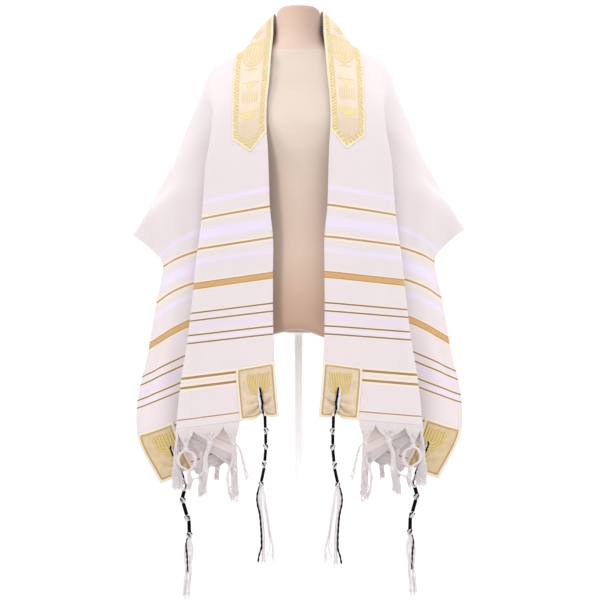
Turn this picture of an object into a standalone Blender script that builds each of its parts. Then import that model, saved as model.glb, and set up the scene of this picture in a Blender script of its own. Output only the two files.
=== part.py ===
"""Tallit prayer shawl draped over a limbless dress form that stands on a pole and a round base.

Frame: millimetres in this file, turned to metres when meshes are made.  +Z is up, -Y is the front,
the origin is on the floor under the middle of the form.

The cloth is one length, 1830 x 520 mm.  A place on it has two measures:
    s, the distance along the cloth from its middle behind the neck (0) to its hem (HALF_LENGTH)
    t, the distance across the cloth from the collar edge (0) to the other long edge (WIDTH)
Each cross-section of the drape is a line of constant s.  SECTIONS gives the points that it bends at.
"""
from collections import namedtuple
from math import pi

import bmesh
import bpy
import numpy as np
from mathutils import Vector

MM = 0.001
COLLECTION = "tallit_prayer_shawl"

# ---- cloth ----
HALF_LENGTH = 915.0
WIDTH = 520.0
WALL = 1.6
SEAM_GAP = 0.35
HEM_GAP = 0.75         # the fringe strip hangs this far under the hem
BEND = 40.0            # length of cloth that each fold turns in
FOLD_GAP = 14.0        # space between two layers at a fold
BAND_WIDTH = 76.0      # collar band and corner patches
COLLAR_END = 363.0     # where the collar band's sides end
COLLAR_POINT = 398.0   # its pointed tip
PATCH_TOP = 810.0
TRIM_THICKNESS = 1.0   # collar band and corner patches

# One row a cross-section, from the middle of the back to the hem, with X away from it.  edge is the
# collar edge, fold the outer fold of the front panel, valley the hidden inner fold, middle and outer
# are on the panel behind, and hem is the other long edge.  gap is the share of FOLD_GAP.
Section = namedtuple("Section", "s edge fold valley middle outer hem gap")
SECTIONS = (
    Section(0, (0, 64, 1243), (0, 90, 1180), (0, 106, 1105), (0, 116, 1000), (0, 122, 870), (0, 126, 733), 0),
    Section(45, (40, 45, 1248), (50, 78, 1196), (55, 102, 1115), (54, 116, 1005), (50, 124, 875),
            (50, 128, 737), 0),
    Section(90, (49.5, 3, 1250), (76, 28, 1225), (91, 82, 1145), (97, 112, 1030), (98, 126, 890),
            (100, 131, 742), 0),
    Section(150, (51.5, -32, 1199), (117, 2, 1175), (137, 62, 1125), (144, 104, 1010), (148, 120, 880),
            (151, 127, 748), 0),
    Section(200, (55, -58, 1156), (150, -12, 1156), (181, 8, 1135), (200, 70, 1050), (206, 106, 910),
            (207, 116, 758), 0),
    Section(250, (58, -82, 1108), (171, -66, 1092), (188, -36, 1083), (206, -14, 1066), (217, 14, 1031),
            (255, 98, 765), 0.3),
    Section(300, (62, -100, 1060), (173, -104, 1036), (160, -84, 1030), (208, -50, 1000), (252, 0, 953),
            (292, 62, 772), 0.7),
    Section(350, (63, -113, 1010), (177, -117, 983), (140, -92, 975), (215, -58, 935), (299, 0, 867),
            (322, 36, 788), 1),
    Section(400, (60, -121, 962), (185, -120, 935), (125, -98, 925), (205, -72, 890), (295, -40, 850),
            (337, 0, 799), 1),
    Section(450, (58, -123, 911), (190, -121, 880), (108, -98, 862), (200, -80, 832), (258, -56, 800),
            (292, -26, 764), 1),
    Section(507, (56, -124, 850), (195, -122, 825), (92, -98, 778), (200, -84, 764), (238, -70, 751),
            (272, -45, 733), 1),
    Section(566, (50, -124, 789), (203, -122, 765), (88, -98, 726), (210, -84, 700), (252, -70, 683),
            (286, -45, 660), 1),
    Section(639, (50, -124, 715), (211, -122, 692), (94, -98, 653), (220, -84, 620), (259, -72, 600),
            (300, -50, 573), 1),
    Section(755, (49, -124, 598), (223, -122, 578), (112, -98, 538), (237, -84, 483), (284, -76, 463),
            (324, -56, 447), 1),
    Section(820, (46, -123, 533), (235, -122, 509), (118, -98, 466), (250, -84, 414), (290, -78, 398),
            (320, -62, 389), 1),
    Section(915, (38, -122, 438), (245, -122, 411), (126, -100, 358), (196, -88, 333), (240, -80, 315),
            (275, -66, 299), 1),
)
FIRST_FOLDED = 250.0   # nearer the neck than this there is no fold in the cross-section
NORMAL_STEP = 2.0      # how far to either side the slope of the cloth is taken

# ---- the half at +X, which hangs a little askew of the mirror image of the half at -X ----
ASKEW_FROM = 80.0      # distance from the middle by which it is askew in full
ASKEW_LEVEL = 666.0    # height that its shifts are taken from
ASKEW_OUT = 2.0        # outward shift at that height
ASKEW_LEAN = -0.006    # change of the outward shift with height
ASKEW_RISE = -0.5      # upward shift at that height, at the middle
ASKEW_SLOPE = 0.038    # change of the upward shift with the distance from the middle
ASKEW_STRETCH = 0.0125  # change of the upward shift with height, nearer than STRETCH_NEAR
STRETCH_NEAR = 55.0
STRETCH_FAR = 275.0    # from here outwards the upward shift is the same at every height

# The largest soft folds: each runs on the cloth from (s0, t0) to (s1, t1), fading in from its start.
# height is how far it stands out of the drape, and a negative one is a trough.
Ridge = namedtuple("Ridge", "s0 t0 s1 t1 width height")
RIDGES = (
    Ridge(20, 170, 52, 560, 26, 11),
    Ridge(95, 150, 118, 560, 30, -10),
    Ridge(120, 120, 190, 560, 26, 12),
    Ridge(190, 180, 262, 560, 30, -9),
    Ridge(215, 220, 345, 560, 24, 9),
    Ridge(255, 210, 455, 470, 22, 8),
    Ridge(300, 60, 560, 95, 34, 4),
    Ridge(560, 450, 800, 420, 26, -6),
)
# as shares of a ridge's run: how it fades in, where it has faded out, and how it fades out
FADE_IN = 0.7
FADE_END = 1.25
FADE_OUT = 0.35

# ---- grid of the cloth ----
# numbers of cells between the marks along s and across t
CELLS_TO_COLLAR_END = 14
CELLS_TO_PATCH = 16
CELLS_ON_PATCH = 4
CELLS_ON_BAND = 4
CELLS_ACROSS = (CELLS_ON_BAND, 2, 5, 2, 5, 7, CELLS_ON_BAND)
TURN_SHARE = 0.6       # each fold's narrow cells reach this share of BEND to either side

# ---- fringe ----
LOCK_PITCH = 22.6
HEM_STEP = 6.0         # length of cloth that the hem's downward direction is taken over
STRIP_HEIGHT = 3.0
STRIP_THICKNESS = 2.2
ROOT_HALF = 7.0
PAIR_GAP = 4.6         # between the middles of two paired locks where they are knotted
# One row a ring down a lock: drop below the strip, half its width, half its depth, and its lean to
# its pair, from 0 straight below its root to 1 at the knot.
LockRing = namedtuple("LockRing", "drop half_width half_depth lean")
LOCK_RINGS = (
    LockRing(12, 5.0, 1.4, 0.20),
    LockRing(28, 2.0, 1.6, 0.80),
    LockRing(35, 2.1, 3.2, 1.00),
    LockRing(42, 1.7, 1.6, 0.90),
    LockRing(57, 1.6, 1.6, 0.35),
    LockRing(70, 1.8, 1.6, 0.90),
    LockRing(76, 2.1, 3.3, 1.00),
    LockRing(83, 2.0, 2.4, 0.95),
    LockRing(104, 2.9, 2.9, 0.65),
)
# each pair's length, from the pair by the front patch round both folds to the one by the outer patch
PAIR_LENGTHS = (100, 116, 102, 90, 88, 84, 62, 66)

# ---- corner tassels ----
STRANDS = 8
THREAD_RADIUS = 1.2
CORD_RADIUS = 1.9
EYELET_ABOVE_HEM = 62.0
# the run over the patch, as shares of EYELET_ABOVE_HEM
RUN_SHARES = (1.0, 0.85, 0.6, 0.35, 0.12)
# One row a ring of a knot, from its top: height above the knot's middle, and radius.
KnotRing = namedtuple("KnotRing", "rise radius")
KNOT_RINGS = (KnotRing(5.2, 2.7), KnotRing(2.8, 4.2), KnotRing(-2.8, 4.2), KnotRing(-5.2, 2.7))
# One row a stretch of a loose strand: its share of the strand's length, and of its spread outwards.
StrandStep = namedtuple("StrandStep", "down away")
STRAND_STEPS = (StrandStep(0.25, 0.55), StrandStep(0.35, 0.22), StrandStep(0.40, 0.22))
STRAND_SPREAD = 7.0
STRAND_PARTING = 0.25
STRAND_SHORTER = 0.07
# Where the thread leaves its eyelet, where the knots hang, and where the longest strand ends.
Knot = namedtuple("Knot", "x z")
Tassel = namedtuple("Tassel", "eyelet_t hang_y end_z knots")
FRONT_TASSEL = Tassel(32.0, -130.5, 156.0,
                      (Knot(65, 436), Knot(63.6, 410), Knot(63.8, 379.5), Knot(67.6, 344), Knot(73, 306)))
OUTER_TASSEL = Tassel(WIDTH - 48.0, -88.4, 73.0,
                      (Knot(228, 300), Knot(230, 268.5), Knot(220.4, 234), Knot(216.6, 199.5)))

# ---- dress form ----
# One row a level: half width, depth in front, depth behind, and how square the section is (2 is an
# ellipse).
Level = namedtuple("Level", "z half_width front back power")
FORM_LEVELS = (
    Level(1262, 34, 33, 35, 2.0),
    Level(1257, 41, 40, 42, 2.0),
    Level(1244, 45, 44, 47, 2.0),
    Level(1205, 48, 47, 51, 2.0),
    Level(1186, 57, 50, 58, 2.0),
    Level(1172, 84, 52, 64, 2.0),
    Level(1156, 118, 53.5, 68, 2.1),
    Level(1140, 148, 57, 72, 2.3),
    Level(1124, 167, 66, 76, 2.5),
    Level(1100, 172, 76, 82, 2.6),
    Level(1060, 166, 96, 88, 2.5),
    Level(1022, 156, 108, 88, 2.4),
    Level(980, 142, 104, 84, 2.3),
    Level(930, 124, 90, 78, 2.2),
    Level(850, 113, 82, 72, 2.1),
    Level(780, 128, 84, 84, 2.1),
    Level(700, 150, 88, 96, 2.1),
    Level(650, 156, 88, 94, 2.1),
    Level(612, 153, 85, 90, 2.1),
    Level(604, 146, 80, 85, 2.1),
)
FORM_SIDES = 28
ARCH_DROP = 22.0       # the sides of the form's lower edge hang this much below its middle
ARCH_HALF_WIDTH = 90.0
ARCH_FROM_Z = 700.0    # the arch fades in from here down to the lower edge
FORM_SEAT_Z = 603.0    # flat underside that the pole holds
FORM_SEAT_RADIUS = 34.0

# ---- stand ----
POLE_RADIUS = 8.0
POLE_FLANGE_RADIUS = 26.0
POLE_FLANGE_HEIGHT = 4.0
BASE_RADIUS = 150.0
BASE_HEIGHT = 10.0
BASE_EDGE = 2.0        # rounding of its rim
SEAT_GAP = 0.3
TURN_STEPS = 32


def clear_scene():
    """Remove every object, so that the script can be run again."""
    for item in list(bpy.data.objects):
        bpy.data.objects.remove(item, do_unlink=True)


def material(name, colour, roughness, metallic=0.0):
    """Principled material with a plain colour."""
    made = bpy.data.materials.new(name)
    made.use_nodes = True
    shader = made.node_tree.nodes["Principled BSDF"]
    shader.inputs["Base Color"].default_value = (*colour, 1.0)
    shader.inputs["Roughness"].default_value = roughness
    shader.inputs["Metallic"].default_value = metallic
    return made


def add_object(name, mesh, collection, finish):
    """Put a mesh into the collection as a named object."""
    made = bpy.data.objects.new(name, mesh)
    made.data.materials.append(finish)
    collection.objects.link(made)
    return made


def smoothstep(x):
    """0 below 0, 1 above 1, and a smooth rise between them."""
    x = np.clip(x, 0.0, 1.0)
    return x * x * (3 - 2 * x)


def cubic(marks, rows, places):
    """Smooth curve through rows of values at the marks, read at the places."""
    step = np.diff(marks)[:, None]
    slope = np.diff(rows, axis=0) / step
    tangent = np.empty_like(rows)
    tangent[0] = slope[0]
    tangent[-1] = slope[-1]
    tangent[1:-1] = (slope[:-1] * step[1:] + slope[1:] * step[:-1]) / (step[:-1] + step[1:])
    i = np.clip(np.searchsorted(marks, places, "right") - 1, 0, len(marks) - 2)
    u = ((places - marks[i]) / (marks[i + 1] - marks[i]))[:, None]
    start = (2 * u**3 - 3 * u**2 + 1) * rows[i] + (u**3 - 2 * u**2 + u) * step[i] * tangent[i]
    end = (3 * u**2 - 2 * u**3) * rows[i + 1] + (u**3 - u**2) * step[i] * tangent[i + 1]
    return start + end


def bend_points(s):
    """The points that each cross-section bends at, as an array of sections x 8 points x 3."""
    flat = [np.hstack([r.edge, r.fold, r.valley, r.middle, r.outer, r.hem, r.gap]) for r in SECTIONS]
    rows = np.array(flat, dtype=float)
    marks = np.array([r.s for r in SECTIONS], dtype=float)
    flip = np.array([-1, 1, 1] * 6 + [1])
    behind = slice(3, 0, -1)
    rows = np.vstack([rows[behind] * flip, rows])
    marks = np.concatenate([-marks[behind], marks])
    values = cubic(marks, rows, np.asarray(s, dtype=float))
    edge, fold, valley, middle, outer, hem = [values[:, 3 * i:3 * i + 3] for i in range(6)]
    apart = values[:, 18:] * FOLD_GAP * np.array([[0.0, 1.0, 0.0]])
    return np.stack([edge, fold, fold + apart, valley, valley + apart, middle, outer, hem], axis=1)


def cloth_marks(s):
    """Where each cross-section bends, as its t measures at the 8 bend points."""
    points = bend_points(s)
    lengths = np.linalg.norm(np.diff(points, axis=1), axis=2)
    reach = np.concatenate([np.zeros((len(points), 1)), np.cumsum(lengths, axis=1)], axis=1)
    return reach / reach[:, -1:] * WIDTH


def rounded_section(points, marks, t):
    """Run along one bent line, with each corner turned within BEND.

    A place is the average of the bent line over BEND around it, so a corner becomes a parabola.
    """
    first = points[0] - (points[1] - points[0]) / (marks[1] - marks[0]) * BEND
    last = points[-1] + (points[-1] - points[-2]) / (marks[-1] - marks[-2]) * BEND
    line = np.vstack([first, points, last])
    at = np.concatenate([[-BEND], marks, [WIDTH + BEND]])
    fine = np.linspace(-BEND, WIDTH + BEND, 601)
    path = np.stack([np.interp(fine, at, line[:, k]) for k in range(3)], axis=1)
    area = np.cumsum((path[1:] + path[:-1]) / 2 * np.diff(fine)[:, None], axis=0)
    area = np.vstack([np.zeros(3), area])
    upper = np.stack([np.interp(t + BEND / 2, fine, area[:, k]) for k in range(3)], axis=1)
    lower = np.stack([np.interp(t - BEND / 2, fine, area[:, k]) for k in range(3)], axis=1)
    return (upper - lower) / BEND


def plain_drape(s, t):
    """Places on the drape without its soft folds.  s is a row of n, t an array of n x m."""
    points = bend_points(s)
    marks = cloth_marks(s)
    return np.stack([rounded_section(points[i], marks[i], t[i]) for i in range(len(s))])


def outward(s, t):
    """Unit normals of the plain drape, on the side that shows."""
    along = plain_drape(s + NORMAL_STEP, t) - plain_drape(s - NORMAL_STEP, t)
    across = plain_drape(s, t + NORMAL_STEP) - plain_drape(s, t - NORMAL_STEP)
    normal = np.cross(along, across)
    return normal / np.linalg.norm(normal, axis=2, keepdims=True)


def ridge_height(s, t):
    """How far the soft folds lift each place of the cloth."""
    lift = np.zeros(t.shape)
    for ridge in RIDGES:
        run = np.hypot(ridge.s1 - ridge.s0, ridge.t1 - ridge.t0)
        ds = (ridge.s1 - ridge.s0) / run
        dt = (ridge.t1 - ridge.t0) / run
        along = (s[:, None] - ridge.s0) * ds + (t - ridge.t0) * dt
        beside = (s[:, None] - ridge.s0) * dt - (t - ridge.t0) * ds
        start = smoothstep(along / (FADE_IN * run))
        fade = start * smoothstep((FADE_END * run - along) / (FADE_OUT * run))
        lift += ridge.height * fade * np.exp(-(beside / ridge.width) ** 2)
    return lift


def drape(s, t, lift=0.0):
    """Places on the cloth's middle surface, or moved out from it by lift."""
    s = np.asarray(s, dtype=float)
    normal = outward(s, t)
    return plain_drape(s, t) + normal * (ridge_height(s, t) + lift)[..., None]


def stations():
    """The s measures of the cloth's grid, from the middle of the back to the hem."""
    collar = np.linspace(0, COLLAR_END, CELLS_TO_COLLAR_END + 1)
    body = np.linspace(COLLAR_POINT, PATCH_TOP, CELLS_TO_PATCH + 1)
    patch = np.linspace(PATCH_TOP, HALF_LENGTH, CELLS_ON_PATCH + 1)
    return np.concatenate([collar, body, patch[1:]])


def columns(s):
    """The t measures of the cloth's grid, closer together at the two folds."""
    marks = cloth_marks(np.maximum(s, FIRST_FOLDED))
    turn = TURN_SHARE * BEND
    rows = []
    for mark in marks:
        stops = (0.0, BAND_WIDTH, mark[1] - turn, mark[2] + turn, mark[3] - turn, mark[4] + turn,
                 WIDTH - BAND_WIDTH, WIDTH)
        parts = [np.linspace(a, b, n, endpoint=False)
                 for a, b, n in zip(stops[:-1], stops[1:], CELLS_ACROSS)]
        rows.append(np.concatenate(parts + [[WIDTH]]))
    return np.array(rows)


def on_side(places, side):
    """Places told by their distance from the middle, brought to the half at +X (1) or -X (-1).

    At the middle of the back both halves are mirror images, so that they meet.
    """
    x, y, z = np.moveaxis(np.asarray(places, dtype=float), -1, 0)
    if side < 0:
        return np.stack([-x, y, z], axis=-1)
    share = smoothstep(x / ASKEW_FROM)
    above = z - ASKEW_LEVEL
    stretch = ASKEW_STRETCH * np.clip((STRETCH_FAR - x) / (STRETCH_FAR - STRETCH_NEAR), 0.0, 1.0)
    out = ASKEW_OUT + ASKEW_LEAN * above
    rise = ASKEW_RISE + ASKEW_SLOPE * x + stretch * above
    return np.stack([x + share * out, y, z + share * rise], axis=-1)


def sheet_faces(index, side):
    """Faces between the rows of a grid of corner numbers, split the same way on both halves."""
    quads = np.stack([index[:-1, :-1], index[1:, :-1], index[1:, 1:], index[:-1, 1:]], axis=-1)
    quads = quads.reshape(-1, 4)
    return quads if side > 0 else quads[:, [0, 3, 2, 1]]


def sheet_mesh(name, grid, side):
    """Open mesh of a grid of places, rows x columns, on one half, with its faces outwards."""
    index = np.arange(grid.shape[0] * grid.shape[1]).reshape(grid.shape[:2])
    mesh = bpy.data.meshes.new(name)
    places = on_side(grid, side).reshape(-1, 3) * MM
    mesh.from_pydata(places.tolist(), [], sheet_faces(index, side).tolist())
    return mesh


def whole_mesh(name, grid, tip=None):
    """Open mesh of a grid of places on both halves, which share its first row.

    A tip is one more place, which the last row of each half is gathered to.
    """
    rows, cols = grid.shape[:2]
    index = np.arange(rows * cols).reshape(rows, cols)
    other = np.vstack([index[:1], index[1:] + (rows - 1) * cols])
    places = [on_side(grid, 1).reshape(-1, 3), on_side(grid[1:], -1).reshape(-1, 3)]
    faces = sheet_faces(index, 1).tolist() + sheet_faces(other, -1).tolist()
    if tip is not None:
        first = (2 * rows - 1) * cols
        places += [on_side(tip[None], side) for side in (1, -1)]
        faces += [(a, first, b) for a, b in zip(index[-1, :-1].tolist(), index[-1, 1:].tolist())]
        faces += [(b, first + 1, a) for a, b in zip(other[-1, :-1].tolist(), other[-1, 1:].tolist())]
    mesh = bpy.data.meshes.new(name)
    mesh.from_pydata((np.vstack(places) * MM).tolist(), [], faces)
    return mesh


def add_wall(item, thickness, offset):
    """Give an open sheet its thickness: offset 0 is both ways, 1 is outwards."""
    solidify = item.modifiers.new("wall", "SOLIDIFY")
    solidify.thickness = thickness * MM
    solidify.offset = offset
    solidify.use_even_offset = False


def make_shawl(collection, finish):
    """The woven cloth: a grid on both halves, which meet at the middle of the back, then its wall."""
    s = stations()
    grid = drape(s, columns(s))
    grid[0, :, 0] = 0.0
    item = add_object("shawl", whole_mesh("shawl", grid), collection, finish)
    add_wall(item, WALL, 0.0)


def make_collar(collection, finish):
    """The collar band along the neck edge, pointed at its ends, on the cloth's own grid points."""
    s = stations()[:CELLS_TO_COLLAR_END + 2]
    t = columns(s)[:, :CELLS_ON_BAND + 1]
    places = drape(s, t, WALL / 2 + SEAM_GAP)
    places[0, :, 0] = 0.0
    mesh = whole_mesh("collar_band", places[:-1], places[-1, CELLS_ON_BAND // 2])
    item = add_object("collar_band", mesh, collection, finish)
    add_wall(item, TRIM_THICKNESS, 1.0)


def make_patch(name, side, first_column, last_column, collection, finish):
    """A corner patch on the cloth's own grid points, between two of its columns."""
    s = stations()[-CELLS_ON_PATCH - 1:]
    t = columns(s)[:, first_column:last_column + 1]
    grid = drape(s, t, WALL / 2 + SEAM_GAP)
    item = add_object(name, sheet_mesh(name, grid, side), collection, finish)
    add_wall(item, TRIM_THICKNESS, 1.0)


def bridge(edit, lower, upper):
    """Faces between two rings of as many corners."""
    count = len(lower)
    for k in range(count):
        edit.faces.new((lower[k], lower[(k + 1) % count], upper[(k + 1) % count], upper[k]))


def hem_frame(t):
    """At places along the hem: the edge of the cloth, the way it runs, and the way it faces."""
    columns_there = columns(np.array([HALF_LENGTH]))
    corners = drape(np.array([HALF_LENGTH]), columns_there)[0]
    above = drape(np.array([HALF_LENGTH - HEM_STEP]), columns_there)[0]
    edge = np.stack([np.interp(t, columns_there[0], corners[:, k]) for k in range(3)], axis=1)
    down = np.stack([np.interp(t, columns_there[0], (corners - above)[:, k]) for k in range(3)], axis=1)
    down /= np.linalg.norm(down, axis=1, keepdims=True)
    facing = outward(np.full(1, HALF_LENGTH), t[None, :])[0]
    facing -= down * (facing * down).sum(axis=1, keepdims=True)
    facing /= np.linalg.norm(facing, axis=1, keepdims=True)
    return edge, down, facing


def add_lock(edit, root, run, face, toward, length):
    """One lock of the fringe, from the four corners of its root on the strip.

    run and face are unit directions along the strip and out of it.  toward is 1 when its pair is
    further along the strip and -1 when it is nearer.
    """
    places = np.array([corner.co for corner in root]).mean(axis=0) / MM
    previous = root
    for ring in LOCK_RINGS:
        sway = toward * ring.lean * (LOCK_PITCH - PAIR_GAP) / 2
        centre = places + run * sway + np.array([0.0, 0.0, -ring.drop * length / LOCK_RINGS[-1].drop])
        wide = run * ring.half_width
        deep = face * ring.half_depth
        corners = (centre - wide + deep, centre - wide - deep, centre + wide - deep, centre + wide + deep)
        current = [edit.verts.new(corner * MM) for corner in corners]
        bridge(edit, previous, current)
        previous = current
    edit.faces.new(previous)


def make_fringe(name, side, collection, finish):
    """The knotted fringe: a narrow strip just under the hem, with locks from every second cell.

    Neighbouring locks lean to each other in pairs, swell at their two knots, part between them and
    end in loose tufts.
    """
    count = 2 * len(PAIR_LENGTHS)
    centres = BAND_WIDTH + LOCK_PITCH * (np.arange(count) + 0.5)
    breaks = np.sort(np.concatenate([centres - ROOT_HALF, centres + ROOT_HALF]))
    edge, down, facing = hem_frame(breaks)
    top = edge + down * HEM_GAP
    low = top + down * STRIP_HEIGHT
    half = facing * STRIP_THICKNESS / 2
    rings = on_side(np.stack([top + half, low + half, low - half, top - half], axis=1), side)
    edit = bmesh.new()
    strip = [[edit.verts.new(place * MM) for place in ring] for ring in rings]
    for a, b in zip(strip[:-1], strip[1:]):
        for k in (0, 2, 3):
            edit.faces.new((a[k], a[(k + 1) % 4], b[(k + 1) % 4], b[k]))
    for a, b in zip(strip[1::2], strip[2::2]):
        edit.faces.new((a[1], a[2], b[2], b[1]))
    edit.faces.new(strip[0])
    edit.faces.new(strip[-1])
    for k in range(count):
        a, b = strip[2 * k:2 * k + 2]
        run = rings[2 * k + 1, 1] - rings[2 * k, 1]
        face = rings[2 * k, 1] - rings[2 * k, 2]
        add_lock(edit, (a[1], a[2], b[2], b[1]), run / np.linalg.norm(run), face / np.linalg.norm(face),
                 1 - 2 * (k % 2), PAIR_LENGTHS[k // 2])
    finish_mesh(edit, name, collection, finish)


def finish_mesh(edit, name, collection, finish):
    """Turn an edited mesh into an object with its faces pointing out."""
    bmesh.ops.recalc_face_normals(edit, faces=edit.faces)
    mesh = bpy.data.meshes.new(name)
    edit.to_mesh(mesh)
    edit.free()
    return add_object(name, mesh, collection, finish)


def ring_places(centre, radius, sides):
    """A level ring of corners round a centre."""
    turns = np.arange(sides) * 2 * pi / sides
    return np.asarray(centre) + radius * np.stack([np.cos(turns), np.sin(turns), 0 * turns], axis=1)


def tassel_path(tassel):
    """Centre line and radius down a corner tassel: over the patch, past the hem, then its knots."""
    lift = WALL / 2 + TRIM_THICKNESS + 2 * SEAM_GAP + CORD_RADIUS
    s = HALF_LENGTH - EYELET_ABOVE_HEM * np.array(RUN_SHARES)
    eyelet = drape(s[:1], np.array([[tassel.eyelet_t]]), lift)[0, 0]
    t = tassel.eyelet_t + np.linspace(0, 1, len(s)) * (tassel.knots[0].x - eyelet[0])
    places = list(drape(s, t[:, None], lift)[:, 0])
    radii = [THREAD_RADIUS] + [CORD_RADIUS] * (len(s) - 1)
    for knot in tassel.knots:
        for step in KNOT_RINGS:
            places.append(np.array([knot.x, tassel.hang_y, knot.z + step.rise]))
            radii.append(step.radius)
    return places[:-1], radii[:-1]


def make_tassel(name, side, tassel, collection, finish):
    """A wound and knotted tassel: a tube with knots, and eight loose strands from its last knot."""
    places, radii = tassel_path(tassel)
    edit = bmesh.new()
    rings = []
    for place, radius in zip(places, radii):
        corners = on_side(ring_places(place, radius, STRANDS), side)
        rings.append([edit.verts.new(corner * MM) for corner in corners])
    edit.faces.new(rings[0])
    for lower, upper in zip(rings[:-1], rings[1:]):
        bridge(edit, lower, upper)
    centre = edit.verts.new(on_side(places[-1], side) * MM)
    cap = [edit.faces.new((centre, rings[-1][k], rings[-1][(k + 1) % STRANDS])) for k in range(STRANDS)]
    bmesh.ops.recalc_face_normals(edit, faces=edit.faces)
    bmesh.ops.inset_individual(edit, faces=cap, thickness=STRAND_PARTING * MM)
    fall = places[-1][2] - tassel.end_z
    for k, face in enumerate(cap):
        away = (face.calc_center_median() - centre.co).normalized() * STRAND_SPREAD * MM
        length = fall * (1.0 - STRAND_SHORTER * (k * 3 % 4))
        for step in STRAND_STEPS:
            face = bmesh.ops.extrude_discrete_faces(edit, faces=[face])["faces"][0]
            move = away * step.away - Vector((0, 0, length * step.down * MM))
            bmesh.ops.translate(edit, verts=face.verts, vec=move)
    finish_mesh(edit, name, collection, finish)


def form_ring(level):
    """A level section of the form: a rounded outline, deeper or flatter in front than behind."""
    turns = (np.arange(FORM_SIDES) + 0.5) * 2 * pi / FORM_SIDES
    c = np.cos(turns)
    n = np.sin(turns)
    depth = np.where(n > 0, level.back, level.front)
    x = level.half_width * np.sign(c) * abs(c) ** (2 / level.power)
    y = depth * np.sign(n) * abs(n) ** (2 / level.power)
    return np.stack([x, y, np.full(FORM_SIDES, float(level.z))], axis=1)


def arch_drop(x):
    """How far the form's lower edge hangs below its middle, at a distance x from it."""
    return ARCH_DROP * np.sin(np.clip(abs(x) / ARCH_HALF_WIDTH, 0, 1) * pi / 2) ** 2


def make_form(collection, finish):
    """The dress form: a loft through its levels, with an arched lower edge and a flat seat below."""
    edit = bmesh.new()
    rings = []
    rim = FORM_LEVELS[-1].z
    for level in FORM_LEVELS:
        places = form_ring(level)
        places[:, 2] -= smoothstep((ARCH_FROM_Z - level.z) / (ARCH_FROM_Z - rim)) * arch_drop(places[:, 0])
        rings.append([edit.verts.new(place * MM) for place in places])
    seat = form_ring(Level(FORM_SEAT_Z, FORM_SEAT_RADIUS, FORM_SEAT_RADIUS, FORM_SEAT_RADIUS, 2.0))
    rings.append([edit.verts.new(place * MM) for place in seat])
    for upper, lower in zip(rings[:-1], rings[1:]):
        bridge(edit, upper, lower)
    edit.faces.new(rings[0])
    edit.faces.new(rings[-1])
    made = finish_mesh(edit, "form_torso", collection, finish)
    made.data.shade_smooth()


def turned_piece(name, profile, collection, finish):
    """A turned piece from its profile, radius and height, run from top to bottom."""
    mesh = bpy.data.meshes.new(name)
    points = [(radius * MM, 0.0, z * MM) for radius, z in profile]
    mesh.from_pydata(points, [(k, k + 1) for k in range(len(points) - 1)], [])
    item = add_object(name, mesh, collection, finish)
    screw = item.modifiers.new("turned", "SCREW")
    screw.steps = TURN_STEPS
    screw.render_steps = TURN_STEPS
    screw.use_merge_vertices = True
    screw.merge_threshold = 0.0001
    return item


def make_stand(collection, finish):
    """A slim pole with a flange under the form, and a flat round base."""
    top = FORM_SEAT_Z - SEAT_GAP
    foot = BASE_HEIGHT + SEAT_GAP
    pole = ((0, top), (POLE_FLANGE_RADIUS, top), (POLE_FLANGE_RADIUS, top - POLE_FLANGE_HEIGHT),
            (POLE_RADIUS, top - 2 * POLE_FLANGE_HEIGHT), (POLE_RADIUS, foot + 2 * POLE_FLANGE_HEIGHT),
            (POLE_FLANGE_RADIUS, foot + POLE_FLANGE_HEIGHT), (POLE_FLANGE_RADIUS, foot), (0, foot))
    turned_piece("stand_pole", pole, collection, finish)
    base = ((0, BASE_HEIGHT), (BASE_RADIUS - 3 * BASE_EDGE, BASE_HEIGHT),
            (BASE_RADIUS - BASE_EDGE, BASE_HEIGHT - BASE_EDGE), (BASE_RADIUS, BASE_HEIGHT / 2),
            (BASE_RADIUS, BASE_EDGE / 2), (BASE_RADIUS - BASE_EDGE / 2, 0), (0, 0))
    turned_piece("stand_base", base, collection, finish)


def main():
    """Build every piece in one collection."""
    clear_scene()
    collection = bpy.data.collections.new(COLLECTION)
    bpy.context.scene.collection.children.link(collection)
    cloth = material("woven_cloth", (0.86, 0.83, 0.84), 0.75)
    brocade = material("gold_brocade", (0.78, 0.62, 0.34), 0.5)
    thread = material("white_thread", (0.84, 0.81, 0.82), 0.8)
    form = material("form_jersey", (0.72, 0.58, 0.47), 0.7)
    enamel = material("white_enamel", (0.86, 0.86, 0.86), 0.35)
    make_shawl(collection, cloth)
    make_collar(collection, brocade)
    last = sum(CELLS_ACROSS)
    for label, side in (("r", 1), ("l", -1)):
        make_patch(f"patch_front_{label}", side, 0, CELLS_ON_BAND, collection, brocade)
        make_patch(f"patch_outer_{label}", side, last - CELLS_ACROSS[-1], last, collection, brocade)
        make_fringe(f"fringe_{label}", side, collection, thread)
        make_tassel(f"tassel_front_{label}", side, FRONT_TASSEL, collection, thread)
        make_tassel(f"tassel_outer_{label}", side, OUTER_TASSEL, collection, thread)
    make_form(collection, form)
    make_stand(collection, enamel)


main()
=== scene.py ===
"""Striped prayer shawl on a limbless dress form: its finishes, fine cloth, embroidery and threads.

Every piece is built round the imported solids, whose places and sizes it keeps.  Sizes here are in
millimetres and one function turns a finished mesh to metres.  A place on the cloth has two measures:
s, along it from the middle of the back (0) to a hem (915, and -915 for the half at -X), and t, across
it from the collar edge (0) to the other long edge (520).
"""
import logging
from dataclasses import dataclass, field
from enum import Enum
from typing import Any, Callable, NamedTuple, Sequence

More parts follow.
